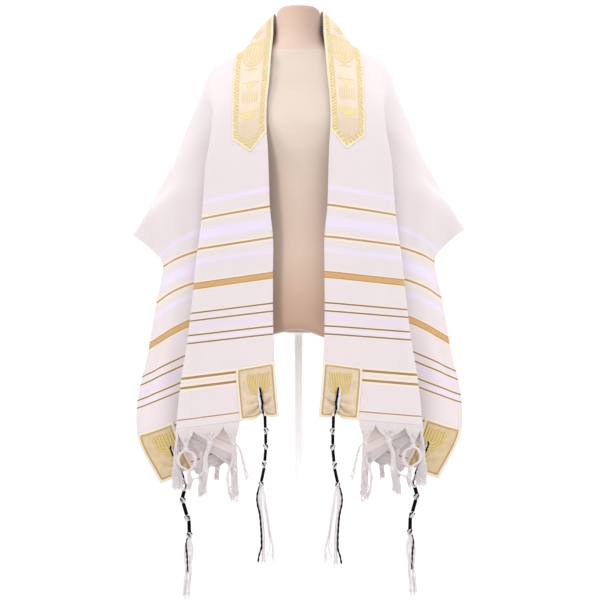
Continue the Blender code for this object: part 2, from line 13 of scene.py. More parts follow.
import bpy
import numpy as np
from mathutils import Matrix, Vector


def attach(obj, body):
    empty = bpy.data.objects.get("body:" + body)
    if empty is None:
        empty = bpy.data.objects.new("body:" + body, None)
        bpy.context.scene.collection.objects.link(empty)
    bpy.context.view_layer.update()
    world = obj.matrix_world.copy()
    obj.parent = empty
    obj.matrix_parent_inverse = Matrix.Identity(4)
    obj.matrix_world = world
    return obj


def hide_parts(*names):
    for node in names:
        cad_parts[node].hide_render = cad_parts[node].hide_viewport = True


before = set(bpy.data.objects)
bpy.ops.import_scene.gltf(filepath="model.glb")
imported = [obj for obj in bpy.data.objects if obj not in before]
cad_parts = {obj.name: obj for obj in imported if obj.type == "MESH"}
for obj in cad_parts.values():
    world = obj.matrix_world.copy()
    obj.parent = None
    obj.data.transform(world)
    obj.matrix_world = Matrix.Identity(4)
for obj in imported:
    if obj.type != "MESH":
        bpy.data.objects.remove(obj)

Array = np.ndarray
Colour = tuple[float, float, float, float]
MM = 0.001
TOWARD = np.array([0.0, -1.0, 0.0])
BODY = "root"
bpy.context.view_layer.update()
log = logging.getLogger("prayer_shawl")


class Slot(Enum):
    """The record's material slots."""

    CLOTH = "woven_cloth"
    BROCADE = "gold_brocade"
    THREAD = "white_thread"
    FORM = "form_jersey"
    ENAMEL = "white_enamel"


class Side(Enum):
    """The two mirrored halves: R is at +X and L at -X."""

    R = 1
    L = -1

    @property
    def label(self) -> str:
        """Ending of a piece's name."""
        return self.name.lower()


# ---------------------------------------------------------------- small maths


def smoothstep(x: Array) -> Array:
    """0 below 0, 1 above 1, and 3x^2 - 2x^3 between."""
    x = np.clip(x, 0.0, 1.0)
    return x * x * (3 - 2 * x)


def unit(vectors: Array) -> Array:
    """Vectors divided by their lengths, along the last axis."""
    return vectors / np.maximum(np.linalg.norm(vectors, axis=-1, keepdims=True), 1e-12)


def cubic(marks: Array, rows: Array, places: Array) -> Array:
    """Smooth curve through rows of values.

    Between two marks it is the cubic that meets both rows with the slope of the parabola through each
    row and its neighbours.

    Args:
        marks: where each row stands, rising.
        rows: one row of values a mark.
        places: where the curve is read.

    Returns:
        One row of values a place.
    """
    step = np.diff(marks)[:, None]
    slope = np.diff(rows, axis=0) / step
    tangent = np.concatenate([slope[:1], slope[:1].repeat(len(rows) - 2, 0), slope[-1:]])
    tangent[1:-1] = (slope[:-1] * step[1:] + slope[1:] * step[:-1]) / (step[:-1] + step[1:])
    i = np.clip(np.searchsorted(marks, places, "right") - 1, 0, len(marks) - 2)
    u = ((places - marks[i]) / (marks[i + 1] - marks[i]))[:, None]
    start = (2 * u**3 - 3 * u**2 + 1) * rows[i] + (u**3 - 2 * u**2 + u) * step[i] * tangent[i]
    end = (3 * u**2 - 2 * u**3) * rows[i + 1] + (u**3 - u**2) * step[i] * tangent[i + 1]
    return start + end


def reaches(points: Array) -> Array:
    """How far along a line of points each one is, from 0 at the first."""
    return np.concatenate([[0.0], np.cumsum(np.linalg.norm(np.diff(points, axis=0), axis=1))])


def resampled(points: Array, count: int) -> Array:
    """A smooth line through a few points, read at a count of even steps of its length."""
    reach = reaches(points)
    return cubic(reach, points, np.linspace(0.0, reach[-1], count))


def circle(count: int) -> Array:
    """Even angles once round."""
    return np.arange(count) * 2 * np.pi / count


def polar(radius: Array | float, angle: Array, height: Array | float) -> Array:
    """Places told by a radius and an angle about the upright axis, and a height."""
    return np.stack(np.broadcast_arrays(radius * np.cos(angle), radius * np.sin(angle), height), -1)


# ---------------------------------------------------------------- mesh data


@dataclass(frozen=True)
class Hang:
    """How the two halves hang: the one at -X as its table says, and the one at +X a little askew of it.

    At a distance x from the middle and a height h over the level, the half at +X lies
    out + lean h further out, and rise + slope x + stretch h f higher, where f falls from 1 to 0 between
    near and far.  Both shifts fade in from the middle of the back, so that the halves meet.
    """

    start: float = 80.0
    level: float = 666.0
    out: float = 2.0
    lean: float = -0.006
    rise: float = -0.5
    slope: float = 0.038
    stretch: float = 0.0125
    near: float = 55.0
    far: float = 275.0

    def on_side(self, places: Array, side: Side) -> Array:
        """Places told by their distance from the middle, brought to one of the halves.

        Args:
            places: x, y and z along the last axis.
            side: the half.

        Returns:
            The places in the frame.
        """
        x, y, z = np.moveaxis(np.asarray(places, float), -1, 0)
        if side is Side.L:
            return np.stack([-x, y, z], -1)
        share = smoothstep(x / self.start)
        above = z - self.level
        stretch = self.stretch * np.clip((self.far - x) / (self.far - self.near), 0, 1)
        out = self.out + self.lean * above
        rise = self.rise + self.slope * x + stretch * above
        return np.stack([x + share * out, y, z + share * rise], -1)


HANG = Hang()


@dataclass
class Skin:
    """Vertices in millimetres, with faces of four and three corners, and one UV a vertex in metres."""

    places: Array
    quads: Array
    uv: Array
    triangles: Array = field(default_factory=lambda: np.zeros((0, 3), int))

    @staticmethod
    def joined(parts: Sequence["Skin"]) -> "Skin":
        """One skin that holds several.

        Args:
            parts: the skins.

        Returns:
            All of them, in their order.
        """
        first = np.cumsum([0] + [len(p.places) for p in parts[:-1]])
        return Skin(np.concatenate([p.places for p in parts]),
                    np.concatenate([p.quads + n for p, n in zip(parts, first)]),
                    np.concatenate([p.uv for p in parts]),
                    np.concatenate([p.triangles + n for p, n in zip(parts, first)]))

    def on(self, side: Side) -> "Skin":
        """The skin brought to one of the two halves, with its faces outwards.

        Args:
            side: the half.

        Returns:
            The skin in the frame.
        """
        turn = side.value
        return Skin(HANG.on_side(self.places, side), self.quads[:, ::turn], self.uv,
                    self.triangles[:, ::turn])


def grid_quads(rows: int, cols: int) -> Array:
    """Corner numbers of the quads of a grid, each run along the rows first."""
    index = np.arange(rows * cols).reshape(rows, cols)
    return np.stack([index[:-1, :-1], index[1:, :-1], index[1:, 1:], index[:-1, 1:]], -1).reshape(-1, 4)


def shell(outer: Array, inner: Array, uv: Array) -> Skin:
    """Closed wall between two grids of places: the outer grid, the inner one turned round, and a rim.

    Args:
        outer: rows x columns x 3 places on the side that shows.
        inner: as many places on the wrong side.
        uv: rows x columns x 2 in metres.

    Returns:
        The wall, with the vertices of the outer grid first.
    """
    rows, cols = outer.shape[:2]
    count = rows * cols
    quads = grid_quads(rows, cols)
    index = np.arange(count).reshape(rows, cols)
    ring = np.concatenate([index[:-1, 0], index[-1, :-1], index[:0:-1, -1], index[0, :0:-1]])
    after = np.roll(ring, -1)
    rim = np.stack([after, ring, ring + count, after + count], 1)
    return Skin(np.concatenate([outer.reshape(-1, 3), inner.reshape(-1, 3)]),
                np.concatenate([quads, quads[:, ::-1] + count, rim]),
                np.concatenate([uv.reshape(-1, 2)] * 2))


def lathe(rings: Array) -> Skin:
    """Closed skin through rings of places, from top to bottom, with each end gathered to its middle.

    Args:
        rings: levels x sides x 3, each ring run anticlockwise seen from above.

    Returns:
        The skin, whose last two vertices are the ends.
    """
    levels, sides = rings.shape[:2]
    closed = np.concatenate([rings, rings[:, :1]], axis=1)
    index = np.arange(levels * sides).reshape(levels, sides)
    around = np.concatenate([index, index[:, :1]], axis=1)
    quads = np.stack([around[:-1, :-1], around[1:, :-1], around[1:, 1:], around[:-1, 1:]], -1)
    ends = np.stack([rings[0].mean(0), rings[-1].mean(0)])
    top = np.full(sides, levels * sides)
    fans = np.concatenate([np.stack([top, around[0, :-1], around[0, 1:]], 1),
                           np.stack([top + 1, around[-1, 1:], around[-1, :-1]], 1)])
    run = np.linalg.norm(np.diff(closed, axis=1), axis=2).cumsum(1) * MM
    uv = np.stack([run, rings[..., 2] * MM], -1).reshape(-1, 2)
    return Skin(np.concatenate([rings.reshape(-1, 3), ends]), quads.reshape(-1, 4),
                np.concatenate([uv, np.zeros((2, 2))]), fans)


def threads(paths: Array, radius: Array | float, facing: Array, sides: int = 6, ply: float = 0.0,
            pitch: float = 6.0, closed: bool = False) -> Skin:
    """Round threads carried along many paths at once.

    A ring round a path's point is centre + r(a) (cos a N + sin a B), where N is the facing direction
    squared to the path, B is across both, and r(a) = radius (1 + ply cos 2(a - turn)).  The turn grows
    by half a circle each pitch, which gives a two-ply twist.

    Args:
        paths: threads x points x 3 places.
        radius: one number, or threads x points of them.
        facing: a direction that no path runs along, one or one a point.
        sides: corners round a thread.
        ply: depth of the groove between the two plies, as a share of the radius.
        pitch: length of half a twist.
        closed: whether each path runs back into its start.

    Returns:
        All the threads as one skin, with fans over the ends of open ones.
    """
    count, points = paths.shape[:2]
    if closed:
        tangent = unit(np.roll(paths, -1, 1) - np.roll(paths, 1, 1))
    else:
        tangent = unit(np.gradient(paths, axis=1))
    facing = np.broadcast_to(facing, paths.shape)
    normal = unit(facing - (facing * tangent).sum(-1, keepdims=True) * tangent)
    across = np.cross(tangent, normal)
    length = np.linalg.norm(np.diff(paths, axis=1, prepend=paths[:, :1]), axis=2).cumsum(1)
    turn = circle(sides)
    swell = 1 + ply * np.cos(2 * (turn - np.pi * length[..., None] / pitch / 2))
    size = (np.broadcast_to(radius, (count, points))[..., None] * swell)[..., None]
    rings = paths[:, :, None] + size * (np.cos(turn)[:, None] * normal[:, :, None]
                                        + np.sin(turn)[:, None] * across[:, :, None])
    index = np.arange(count * points * sides).reshape(count, points, sides)
    after = np.roll(index, -1, 2)
    if closed:
        index, after = [np.concatenate([a, a[:, :1]], axis=1) for a in (index, after)]
    quads = np.stack([index[:, :-1], after[:, :-1], after[:, 1:], index[:, 1:]], -1).reshape(-1, 4)
    round_it = turn * np.mean(radius) * MM
    uv = np.stack(np.broadcast_arrays(round_it, length[..., None] * MM), -1).reshape(-1, 2)
    if closed:
        return Skin(rings.reshape(-1, 3), quads, uv)
    first = count * points * sides
    start = np.broadcast_to(first + np.arange(count)[:, None], (count, sides))
    fans = np.concatenate([np.stack([start, after[:, 0], index[:, 0]], -1).reshape(-1, 3),
                           np.stack([start + count, index[:, -1], after[:, -1]], -1).reshape(-1, 3)])
    return Skin(np.concatenate([rings.reshape(-1, 3), paths[:, 0], paths[:, -1]]), quads,
                np.concatenate([uv, np.zeros((2 * count, 2))]), fans)


def tied(paths: Array, radius: float, sides: int, ply: float, pitch: float) -> Skin:
    """Closed two-ply threads, each of which faces away from its own middle."""
    outward = paths - paths.mean(axis=1, keepdims=True)
    return threads(paths, radius, outward, sides, ply, pitch, closed=True)


def add_piece(name: str, skin: Skin, finish: bpy.types.Material,
              replaces: Sequence[str] = ()) -> bpy.types.Object:
    """Turns a skin into an object of the scene that rides with the frame.

    Args:
        name: the piece's name.
        skin: its mesh, in millimetres.
        finish: its material.
        replaces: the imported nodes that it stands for.

    Returns:
        The object.
    """
    mesh = bpy.data.meshes.new(name)
    faces = skin.quads.tolist() + skin.triangles.tolist()
    mesh.from_pydata((skin.places * MM).tolist(), [], faces)
    corners = np.empty(len(mesh.loops), np.int32)
    mesh.loops.foreach_get("vertex_index", corners)
    layer = mesh.uv_layers.new(name="cloth")
    layer.data.foreach_set("uv", skin.uv[corners].astype(np.float32).ravel())
    mesh.polygons.foreach_set("use_smooth", np.ones(len(mesh.polygons), bool))
    mesh.materials.append(finish)
    mesh.update()
    made = bpy.data.objects.new(name, mesh)
    bpy.context.scene.collection.objects.link(made)
    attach(made, BODY)
    if replaces:
        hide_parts(*replaces)
    log.info("%s: %d faces", name, len(faces))
    return made


# ---------------------------------------------------------------- finishes


def linear(colour: str) -> Colour:
    """Linear RGBA of an sRGB colour: ((v + 0.055) / 1.055)^2.4, or v / 12.92 where v is small.

    Args:
        colour: a hash and six hex digits.

    Returns:
        Red, green, blue and full alpha.
    """
    values = np.array([int(colour[i:i + 2], 16) for i in (1, 3, 5)]) / 255
    red, green, blue = np.where(values <= 0.04045, values / 12.92, ((values + 0.055) / 1.055) ** 2.4)
    return float(red), float(green), float(blue), 1.0


def add_node(tree: bpy.types.NodeTree, kind: str, inputs: dict[int | str, Any] | None = None,
             **settings: Any) -> bpy.types.Node:
    """Adds a node to a material.

    Args:
        tree: the material's nodes.
        kind: the node's type.
        inputs: for an input's name or number, its value or the output that is linked to it.
        settings: the node's own settings.

    Returns:
        The node.
    """
    made = tree.nodes.new(kind)
    for name, value in settings.items():
        setattr(made, name, value)
    for key, value in (inputs or {}).items():
        if isinstance(value, bpy.types.NodeSocket):
            tree.links.new(value, made.inputs[key])
        else:
            made.inputs[key].default_value = value
    return made


def set_ramp(ramp: bpy.types.Node, stops: Sequence[tuple[float, Colour]]) -> bpy.types.NodeSocket:
    """Gives a colour ramp its stops.

    Args:
        ramp: the node.
        stops: place and colour of each.

    Returns:
        The ramp's colour output.
    """
    elements = ramp.color_ramp.elements
    while len(elements) > 1:
        elements.remove(elements[-1])
    elements[0].position, elements[0].color = stops[0]
    for place, colour in stops[1:]:
        elements.new(place).color = colour
    return ramp.outputs["Color"]


Socket = bpy.types.NodeSocket


@dataclass(frozen=True)
class Nodes:
    """The nodes of one material.  Each method adds nodes of one kind and returns their output."""

    tree: bpy.types.NodeTree
    shader: bpy.types.Node

    def link(self, output: Socket, name: str) -> None:
        """Links an output to one of the shader's inputs."""
        self.tree.links.new(output, self.shader.inputs[name])

    def place(self, kind: str) -> Socket:
        """The piece's own UV, or its Object place in the frame, in millimetres."""
        source = add_node(self.tree, "ShaderNodeTexCoord").outputs[kind]
        return add_node(self.tree, "ShaderNodeMapping",
                        {"Vector": source, "Scale": (1 / MM, 1 / MM, 1 / MM)}).outputs["Vector"]

    def axis(self, place: Socket, name: str) -> Socket:
        """One coordinate of a place."""
        return add_node(self.tree, "ShaderNodeSeparateXYZ", {0: place}).outputs[name]

    def math(self, operation: str, *values: Socket | float) -> Socket:
        """An operation on one to three values."""
        return add_node(self.tree, "ShaderNodeMath", dict(enumerate(values)),
                        operation=operation).outputs[0]

    def apart(self, value: Socket, middle: float) -> Socket:
        """How far a value is from a middle, on either side."""
        return self.math("ABSOLUTE", self.math("SUBTRACT", value, middle))

    def span(self, value: Socket | float, low: float, high: float, start: float = 0.0, end: float = 1.0,
             kind: str = "LINEAR") -> Socket:
        """A value carried from low..high to start..end, and held beyond them."""
        return add_node(self.tree, "ShaderNodeMapRange", dict(enumerate((value, low, high, start, end))),
                        interpolation_type=kind).outputs[0]

    def mix(self, share: Socket | float, first: Socket | Colour, second: Socket | Colour) -> Socket:
        """The first colour where the share is 0, and the second where it is 1."""
        return add_node(self.tree, "ShaderNodeMix", {0: share, 6: first, 7: second},
                        data_type="RGBA").outputs[2]

    def scale(self, colour: Socket | Colour, factor: Socket) -> Socket:
        """A colour made lighter or darker."""
        colour = colour if isinstance(colour, Socket) else colour[:3]
        return add_node(self.tree, "ShaderNodeVectorMath", {0: colour, "Scale": factor},
                        operation="SCALE").outputs[0]

    def noise(self, place: Socket, scale: float, detail: float) -> Socket:
        """Soft noise, with about so many clouds a millimetre."""
        return add_node(self.tree, "ShaderNodeTexNoise",
                        {0: place, "Scale": scale, "Detail": detail}).outputs[0]

    def mottle(self, place: Socket, scale: float, detail: float, dark: float, light: float) -> Socket:
        """A factor that changes softly from dark to light."""
        return self.span(self.noise(place, scale, detail), 0.3, 0.7, dark, light)

    def rows(self, place: Socket, pitch: float, direction: str) -> Socket:
        """Sine rows so many millimetres apart."""
        return add_node(self.tree, "ShaderNodeTexWave", {0: place, "Scale": 2 * np.pi / 20 / pitch},
                        bands_direction=direction).outputs["Fac"]


@dataclass(frozen=True)
class Finish:
    """What every finish states: its name and the uniform values of its surface."""

    name: str
    colour: str
    roughness: float
    metallic: float = 0.0
    sheen: float = 0.0
    sheen_colour: str = "#FFFFFF"
    sheen_roughness: float = 0.5
    coat: float = 0.0
    specular: float = 0.5
    translucency: float = 0.0
    translucent_depth: float = 1.5
    bump: float = 0.2
    bump_depth: float = 0.2

    def made(self) -> bpy.types.Material:
        """The material, made at its first use: uniform values on the shader, and its pattern linked.

        Returns:
            The material, which pieces of the same finish share.
        """
        if self.name in bpy.data.materials:
            return bpy.data.materials[self.name]
        material = bpy.data.materials.new(self.name)
        material.use_nodes = True
        shader = material.node_tree.nodes["Principled BSDF"]
        values = {"Base Color": linear(self.colour), "Roughness": self.roughness,
                  "Metallic": self.metallic, "Sheen Weight": self.sheen,
                  "Sheen Tint": linear(self.sheen_colour), "Sheen Roughness": self.sheen_roughness,
                  "Coat Weight": self.coat, "Specular IOR Level": self.specular,
                  "Subsurface Weight": self.translucency, "Subsurface Radius": (1.0, 1.0, 1.0),
                  "Subsurface Scale": self.translucent_depth * MM}
        for name, value in values.items():
            shader.inputs[name].default_value = value
        self.pattern(Nodes(material.node_tree, shader))
        return material

    def pattern(self, nodes: Nodes) -> None:
        """Adds the nodes of the finish's own pattern; a plain finish has none."""

    def relief(self, nodes: Nodes, height: Socket) -> None:
        """Links a height pattern to the shader as bump."""
        bump = add_node(nodes.tree, "ShaderNodeBump", {"Height": height, "Strength": self.bump,
                                                       "Distance": self.bump_depth * MM})
        nodes.link(bump.outputs["Normal"], "Normal")


class Stripe(NamedTuple):
    """A woven stripe: its middle from the middle of the back, its width, how far it fades, its colour."""

    s: float
    width: float
    fade: float
    colour: str
    metal: bool = False


def lurex(s: float, halo: float, halo_fade: float, width: float, fade: float,
          colour: str) -> tuple[Stripe, Stripe]:
    """A metallic line with a pale gold halo behind it.

    Args:
        s: the middle of both.
        halo: the halo's width.
        halo_fade: how far the halo fades.
        width: the line's width.
        fade: how far the line fades.
        colour: the line's colour.

    Returns:
        The halo and the line.
    """
    return Stripe(s, halo, halo_fade, "#E8D5C2"), Stripe(s, width, fade, colour, True)


SATIN_WHITE, FAINT_SATIN = "#DAD0E1", "#D6CBDA"
TAN_LUREX, BRONZE_LUREX, OLD_GOLD = "#A89073", "#867265", "#9A8260"
STRIPES = (
    Stripe(474, 9, 5, SATIN_WHITE),
    *lurex(507, 11, 4, 3.9, 0.4, TAN_LUREX),
    Stripe(538, 20, 8, SATIN_WHITE),
    *lurex(566, 11, 4, 3.9, 0.4, TAN_LUREX),
    Stripe(591, 9, 6, SATIN_WHITE),
    *lurex(639, 18, 3, 13.4, 0.5, "#AC8A5B"), Stripe(639, 9.4, 1.6, "#C9A06E", True),
    *lurex(693.5, 6, 2, 3.1, 0.4, BRONZE_LUREX),
    *lurex(709, 6, 2, 3.1, 0.4, BRONZE_LUREX),
    Stripe(722, 9, 5, FAINT_SATIN),
    *lurex(738, 6, 2, 3.1, 0.4, BRONZE_LUREX),
    Stripe(746, 3.5, 2, SATIN_WHITE),
    *lurex(753.5, 6, 2, 3.1, 0.4, BRONZE_LUREX),
    *lurex(818.8, 12, 4, 4.8, 0.5, OLD_GOLD),
    *lurex(837, 12, 4, 4.8, 0.5, OLD_GOLD),
    *lurex(898, 6, 2, 2.8, 0.4, "#A08F86"),
)
WRONG_SIDE = "wrong_side"


@dataclass(frozen=True)
class WovenCloth(Finish):
    """Plain-woven off-white cloth with satin bands and metallic stripes across it.

    The threads of the real cloth stand 0.5 mm apart; the weave is drawn at 1.6 mm so that it shows.
    """

    weave_pitch: float = 1.6
    slub_stretch: tuple[float, float, float] = (0.02, 0.55, 1.0)
    slub_share: float = 0.02
    slub_height: float = 0.7
    metal_roughness: float = 0.42
    metal_share: float = 0.35
    wrong_side_colour: str = "#E6D8D5"
    stripe_through: float = 0.22

    def pattern(self, nodes: Nodes) -> None:
        """Stripes by their distance from the middle of the back, on a slubbed plain weave.

        Args:
            nodes: the material's nodes.
        """
        place = nodes.place("UV")
        along = nodes.math("ABSOLUTE", nodes.axis(place, "Y"))
        back = add_node(nodes.tree, "ShaderNodeAttribute", attribute_name=WRONG_SIDE).outputs["Fac"]
        shown = nodes.span(back, 0, 1, 1, self.stripe_through)
        tint = nodes.mix(back, linear(self.colour), linear(self.wrong_side_colour))
        metal: Socket | float = 0.0
        for stripe in STRIPES:
            inside = nodes.span(nodes.apart(along, stripe.s), (stripe.width + stripe.fade) / 2,
                                (stripe.width - stripe.fade) / 2, kind="SMOOTHSTEP")
            if stripe.metal:
                metal = nodes.math("MAXIMUM", metal, inside)
            tint = nodes.mix(nodes.math("MULTIPLY", inside, shown), tint, linear(stripe.colour))
        slub_place = add_node(nodes.tree, "ShaderNodeMapping", {0: place, "Scale": self.slub_stretch})
        slub = nodes.noise(slub_place.outputs[0], 1.0, 3.0)
        toned = nodes.scale(tint, nodes.span(slub, 0.3, 0.7, 1 - self.slub_share, 1.0))
        spark = nodes.span(nodes.noise(place, 0.9, 1.0), 0.35, 0.7, 0.82, 1.2)
        nodes.link(nodes.mix(metal, toned, nodes.scale(toned, spark)), "Base Color")
        nodes.link(nodes.span(metal, 0, 1, self.roughness, self.metal_roughness), "Roughness")
        nodes.link(nodes.math("MULTIPLY", metal, self.metal_share), "Metallic")
        weave = nodes.math("MAXIMUM", *(nodes.rows(place, self.weave_pitch, axis) for axis in "XY"))
        self.relief(nodes, nodes.math("MULTIPLY_ADD", slub, self.slub_height, weave))


@dataclass(frozen=True)
class BandBrocade(Finish):
    """Satin ground with a double border along every edge of the collar band.

    The very edge is cream, the border inside it gold-yellow with faint slanting rows, and a thin
    darker line runs along its inside.
    """

    hatch: str = "#C0A76F"
    pale: str = "#E6DCC8"
    yellow: str = "#DCCCA4"
    line: str = "#C9B68C"
    low_ground: str = "#D0BEA6"
    low_reach: tuple[float, float] = (80.0, 55.0)
    cream_edge: float = 3.6
    softness: float = 2.6
    hatch_sway: float = 5.0
    hatch_slant: float = 0.7
    hatch_pitch: float = 6.4
    row_share: float = 0.9
    border: float = 13.6
    border_metal: float = 0.2
    border_height: float = 1.6
    line_width: float = 1.3
    weft_pitch: float = 1.2
    width: float = 76.0
    point: float = 398.0
    point_rise: float = 35.0

    def edge_distance(self, nodes: Nodes, place: Socket) -> Socket:
        """Distance to the nearest edge: either long side, or a side of the pointed end.

        Args:
            nodes: the material's nodes.
            place: the place on the band in millimetres, across it and along it.

        Returns:
            The distance in millimetres.
        """
        half = self.width / 2
        slope = self.point_rise / half
        off = nodes.apart(nodes.axis(place, "X"), half)
        along = nodes.math("ABSOLUTE", nodes.axis(place, "Y"))
        left = nodes.math("MULTIPLY_ADD", off, -slope, nodes.math("SUBTRACT", self.point, along))
        return nodes.math("MINIMUM", nodes.math("SUBTRACT", half, off),
                          nodes.math("MULTIPLY", left, 1 / np.hypot(1.0, slope)))

    def pattern(self, nodes: Nodes) -> None:
        """From the inside out: satin, thin line, yellow border with faint rows, cream edge.

        Args:
            nodes: the material's nodes.
        """
        place = nodes.place("UV")
        edge = self.edge_distance(nodes, place)
        along = nodes.axis(place, "Y")
        slant = nodes.math("MULTIPLY_ADD", edge, self.hatch_slant, along)
        frayed = nodes.math("MULTIPLY_ADD", nodes.noise(place, 0.16, 2.0), self.hatch_sway * 2, slant)
        wave = nodes.math("SINE", nodes.math("MULTIPLY", frayed, 2 * np.pi / self.hatch_pitch))
        hatched = nodes.mix(nodes.span(wave, -1, 1, 0, self.row_share), linear(self.yellow),
                            linear(self.hatch))
        low = nodes.span(nodes.math("ABSOLUTE", along), *(self.point - up for up in self.low_reach))
        tint = nodes.mix(low, linear(self.colour), linear(self.low_ground))
        for reach, colour in ((self.border + self.line_width, linear(self.line)),
                              (self.border, hatched), (self.cream_edge, linear(self.pale))):
            inside = nodes.span(edge, reach + self.softness / 2, reach - self.softness / 2)
            tint = nodes.mix(inside, tint, colour)
        nodes.link(nodes.scale(tint, nodes.mottle(place, 0.05, 2.0, 0.94, 1.03)), "Base Color")
        gold = nodes.math("LESS_THAN", edge, self.border)
        nodes.link(nodes.math("MULTIPLY", gold, self.border_metal), "Metallic")
        weft = nodes.rows(place, self.weft_pitch, "Y")
        self.relief(nodes, nodes.math("MULTIPLY_ADD", gold, self.border_height, weft))


@dataclass(frozen=True)
class SatinPatch(Finish):
    """Beige satin of the corner patches with a pale woven edge, fine weft rows and a soft mottle."""

    edge_colour: str = "#DFD3BE"
    edge: float = 4.6
    width: float = 76.0
    height: float = 105.0
    row_pitch: float = 1.2

    def pattern(self, nodes: Nodes) -> None:
        """Weft rows as bump, a mottle of lighter and darker satin, and the pale edge all round.

        Args:
            nodes: the material's nodes.
        """
        place = nodes.place("UV")
        sides = [nodes.math("GREATER_THAN", nodes.apart(nodes.axis(place, axis), size / 2),
                            size / 2 - self.edge)
                 for axis, size in (("X", self.width), ("Y", self.height))]
        satin = nodes.scale(linear(self.colour), nodes.mottle(place, 0.09, 3.0, 0.88, 1.06))
        edge = nodes.math("MAXIMUM", *sides)
        nodes.link(nodes.mix(edge, satin, linear(self.edge_colour)), "Base Color")
        self.relief(nodes, nodes.rows(place, self.row_pitch, "Y"))


@dataclass(frozen=True)
class SpunThread(Finish):
    """Thread or yarn: fibres wound slantwise round it, a little lighter and darker along it."""

    twist_pitch: float = 1.1
    variation: float = 0.12

    def pattern(self, nodes: Nodes) -> None:
        """Slanting fibres from the thread's own UV, with a slow change of tone.

        Args:
            nodes: the material's nodes.
        """
        place = nodes.place("UV")
        tone = nodes.mottle(place, 0.35, 3.0, 1 - self.variation, 1 + self.variation / 2)
        nodes.link(nodes.scale(linear(self.colour), tone), "Base Color")
        self.relief(nodes, nodes.rows(place, self.twist_pitch, "DIAGONAL"))


@dataclass(frozen=True)
class StretchJersey(Finish):
    """Fine jersey pulled over a foam form: close vertical wales, and a pinker cap over the neck.

    Its colour changes slowly with height: darker towards the bottom and towards the top of the neck,
    which is painted shade, and pinker above the neck seam, which is the cap's own colour. Each row of
    tone_and_painted_shade is a height and the colour there.
    """

    # colours by height: the darkening towards the bottom and up the neck is painted shade; the pinker cap
    # above the seam at 1172 is its own colour
    tone_and_painted_shade: tuple[tuple[float, str], ...] = (
        (604, "#BB9985"), (642, "#BF9E89"), (690, "#CAAC98"), (760, "#D6BDAC"), (900, "#D4BEAF"),
        (1040, "#CDBDB1"), (1170, "#CDBDB0"), (1172, "#CDB2A4"), (1210, "#C5A99A"), (1262, "#BA9B8A"))
    brightness: tuple[float, float] = (0.70, 0.73)
    wale_pitch: float = 1.4

    def pattern(self, nodes: Nodes) -> None:
        """Tone and painted shade by height with a soft mottle of the knit, and wales round the form as
        bump.

        Args:
            nodes: the material's nodes.
        """
        place = nodes.place("Object")
        low, high = self.tone_and_painted_shade[0][0], self.tone_and_painted_shade[-1][0]
        height = nodes.span(nodes.axis(place, "Z"), low, high)
        # the ramp lays painted shade by height over the jersey, together with the cap's own pinker colour
        ramp = add_node(nodes.tree, "ShaderNodeValToRGB", {0: height})
        tint = set_ramp(ramp, [((z - low) / (high - low), linear(colour)) for z, colour in self.tone_and_painted_shade])
        knit = nodes.scale(tint, nodes.mottle(place, 0.012, 3.0, *self.brightness))
        nodes.link(knit, "Base Color")
        self.relief(nodes, nodes.rows(nodes.place("UV"), self.wale_pitch, "X"))


@dataclass(frozen=True)
class SprayedEnamel(Finish):
    """Stoved enamel on steel: smooth, with the slightest orange peel."""

    def pattern(self, nodes: Nodes) -> None:
        """Orange peel as bump and a faint unevenness of gloss.

        Args:
            nodes: the material's nodes.
        """
        peel = nodes.noise(nodes.place("Object"), 0.5, 1.0)
        nodes.link(nodes.span(peel, 0, 1, self.roughness * 0.9, self.roughness * 1.15), "Roughness")
        self.relief(nodes, peel)


WOVEN_CLOTH = WovenCloth("plain_woven_cloth_with_lurex_stripes", "#D7CDCF", 0.78, sheen=0.25,
                         sheen_colour="#FFF6F8", translucency=0.5, bump=0.25, bump_depth=0.18)
BAND_BROCADE = BandBrocade("satin_band_with_gold_border", "#DCC9B5", 0.55, sheen=0.15, bump=0.35,
                           bump_depth=0.3)
SATIN_PATCH = SatinPatch("beige_satin", "#D1BB9F", 0.5, sheen=0.2, bump=0.3)
GOLDEN_PATCH = SatinPatch("golden_beige_satin", "#CDB58F", 0.5, sheen=0.2, bump=0.3)
GOLD_THREAD = SpunThread("gold_metallic_thread", "#DDC473", 0.4, metallic=0.4, bump=0.5,
                         bump_depth=0.3)
BROWN_THREAD = SpunThread("bronze_outline_thread", "#9B7F45", 0.5, metallic=0.25, bump=0.4)
BAND_THREAD = SpunThread("pale_gold_thread", "#D6C293", 0.45, metallic=0.2, bump=0.5, bump_depth=0.3)
BRIGHT_THREAD = SpunThread("lemon_gold_thread", "#DECC92", 0.4, metallic=0.2, bump=0.5,
                           bump_depth=0.3)
BRAID = SpunThread("gold_braid", "#C4A26C", 0.45, metallic=0.25, bump=0.5, bump_depth=0.3)
FRINGE_YARN = SpunThread("cream_white_fringe_yarn", "#DFD5D6", 0.85, sheen=0.35, translucency=0.35,
                         translucent_depth=2.5, variation=0.06, bump=0.3)
WHITE_YARN = SpunThread("white_spun_yarn", "#DCD6DA", 0.85, sheen=0.2, variation=0.07, bump=0.4,
                        bump_depth=0.25)
CREAM_THREAD = SpunThread("cream_sewing_thread", "#DACCB6", 0.7, bump=0.3, bump_depth=0.1)
NAVY_THREAD = SpunThread("navy_wool_thread", "#05050F", 0.85, specular=0.08, bump=0.5, bump_depth=0.25)
JERSEY = StretchJersey("skin_beige_jersey", "#D3BBAD", 0.75, sheen=0.25, sheen_colour="#FFF2EA",
                       bump=0.12, bump_depth=0.1)
ENAMEL = SprayedEnamel("white_stoved_enamel", "#F7F7F7", 0.3, coat=0.2, bump=0.05, bump_depth=0.05)
FLOOR = Finish("white_studio_floor", "#DCDCDC", 0.9)


# ---------------------------------------------------------------- the drape


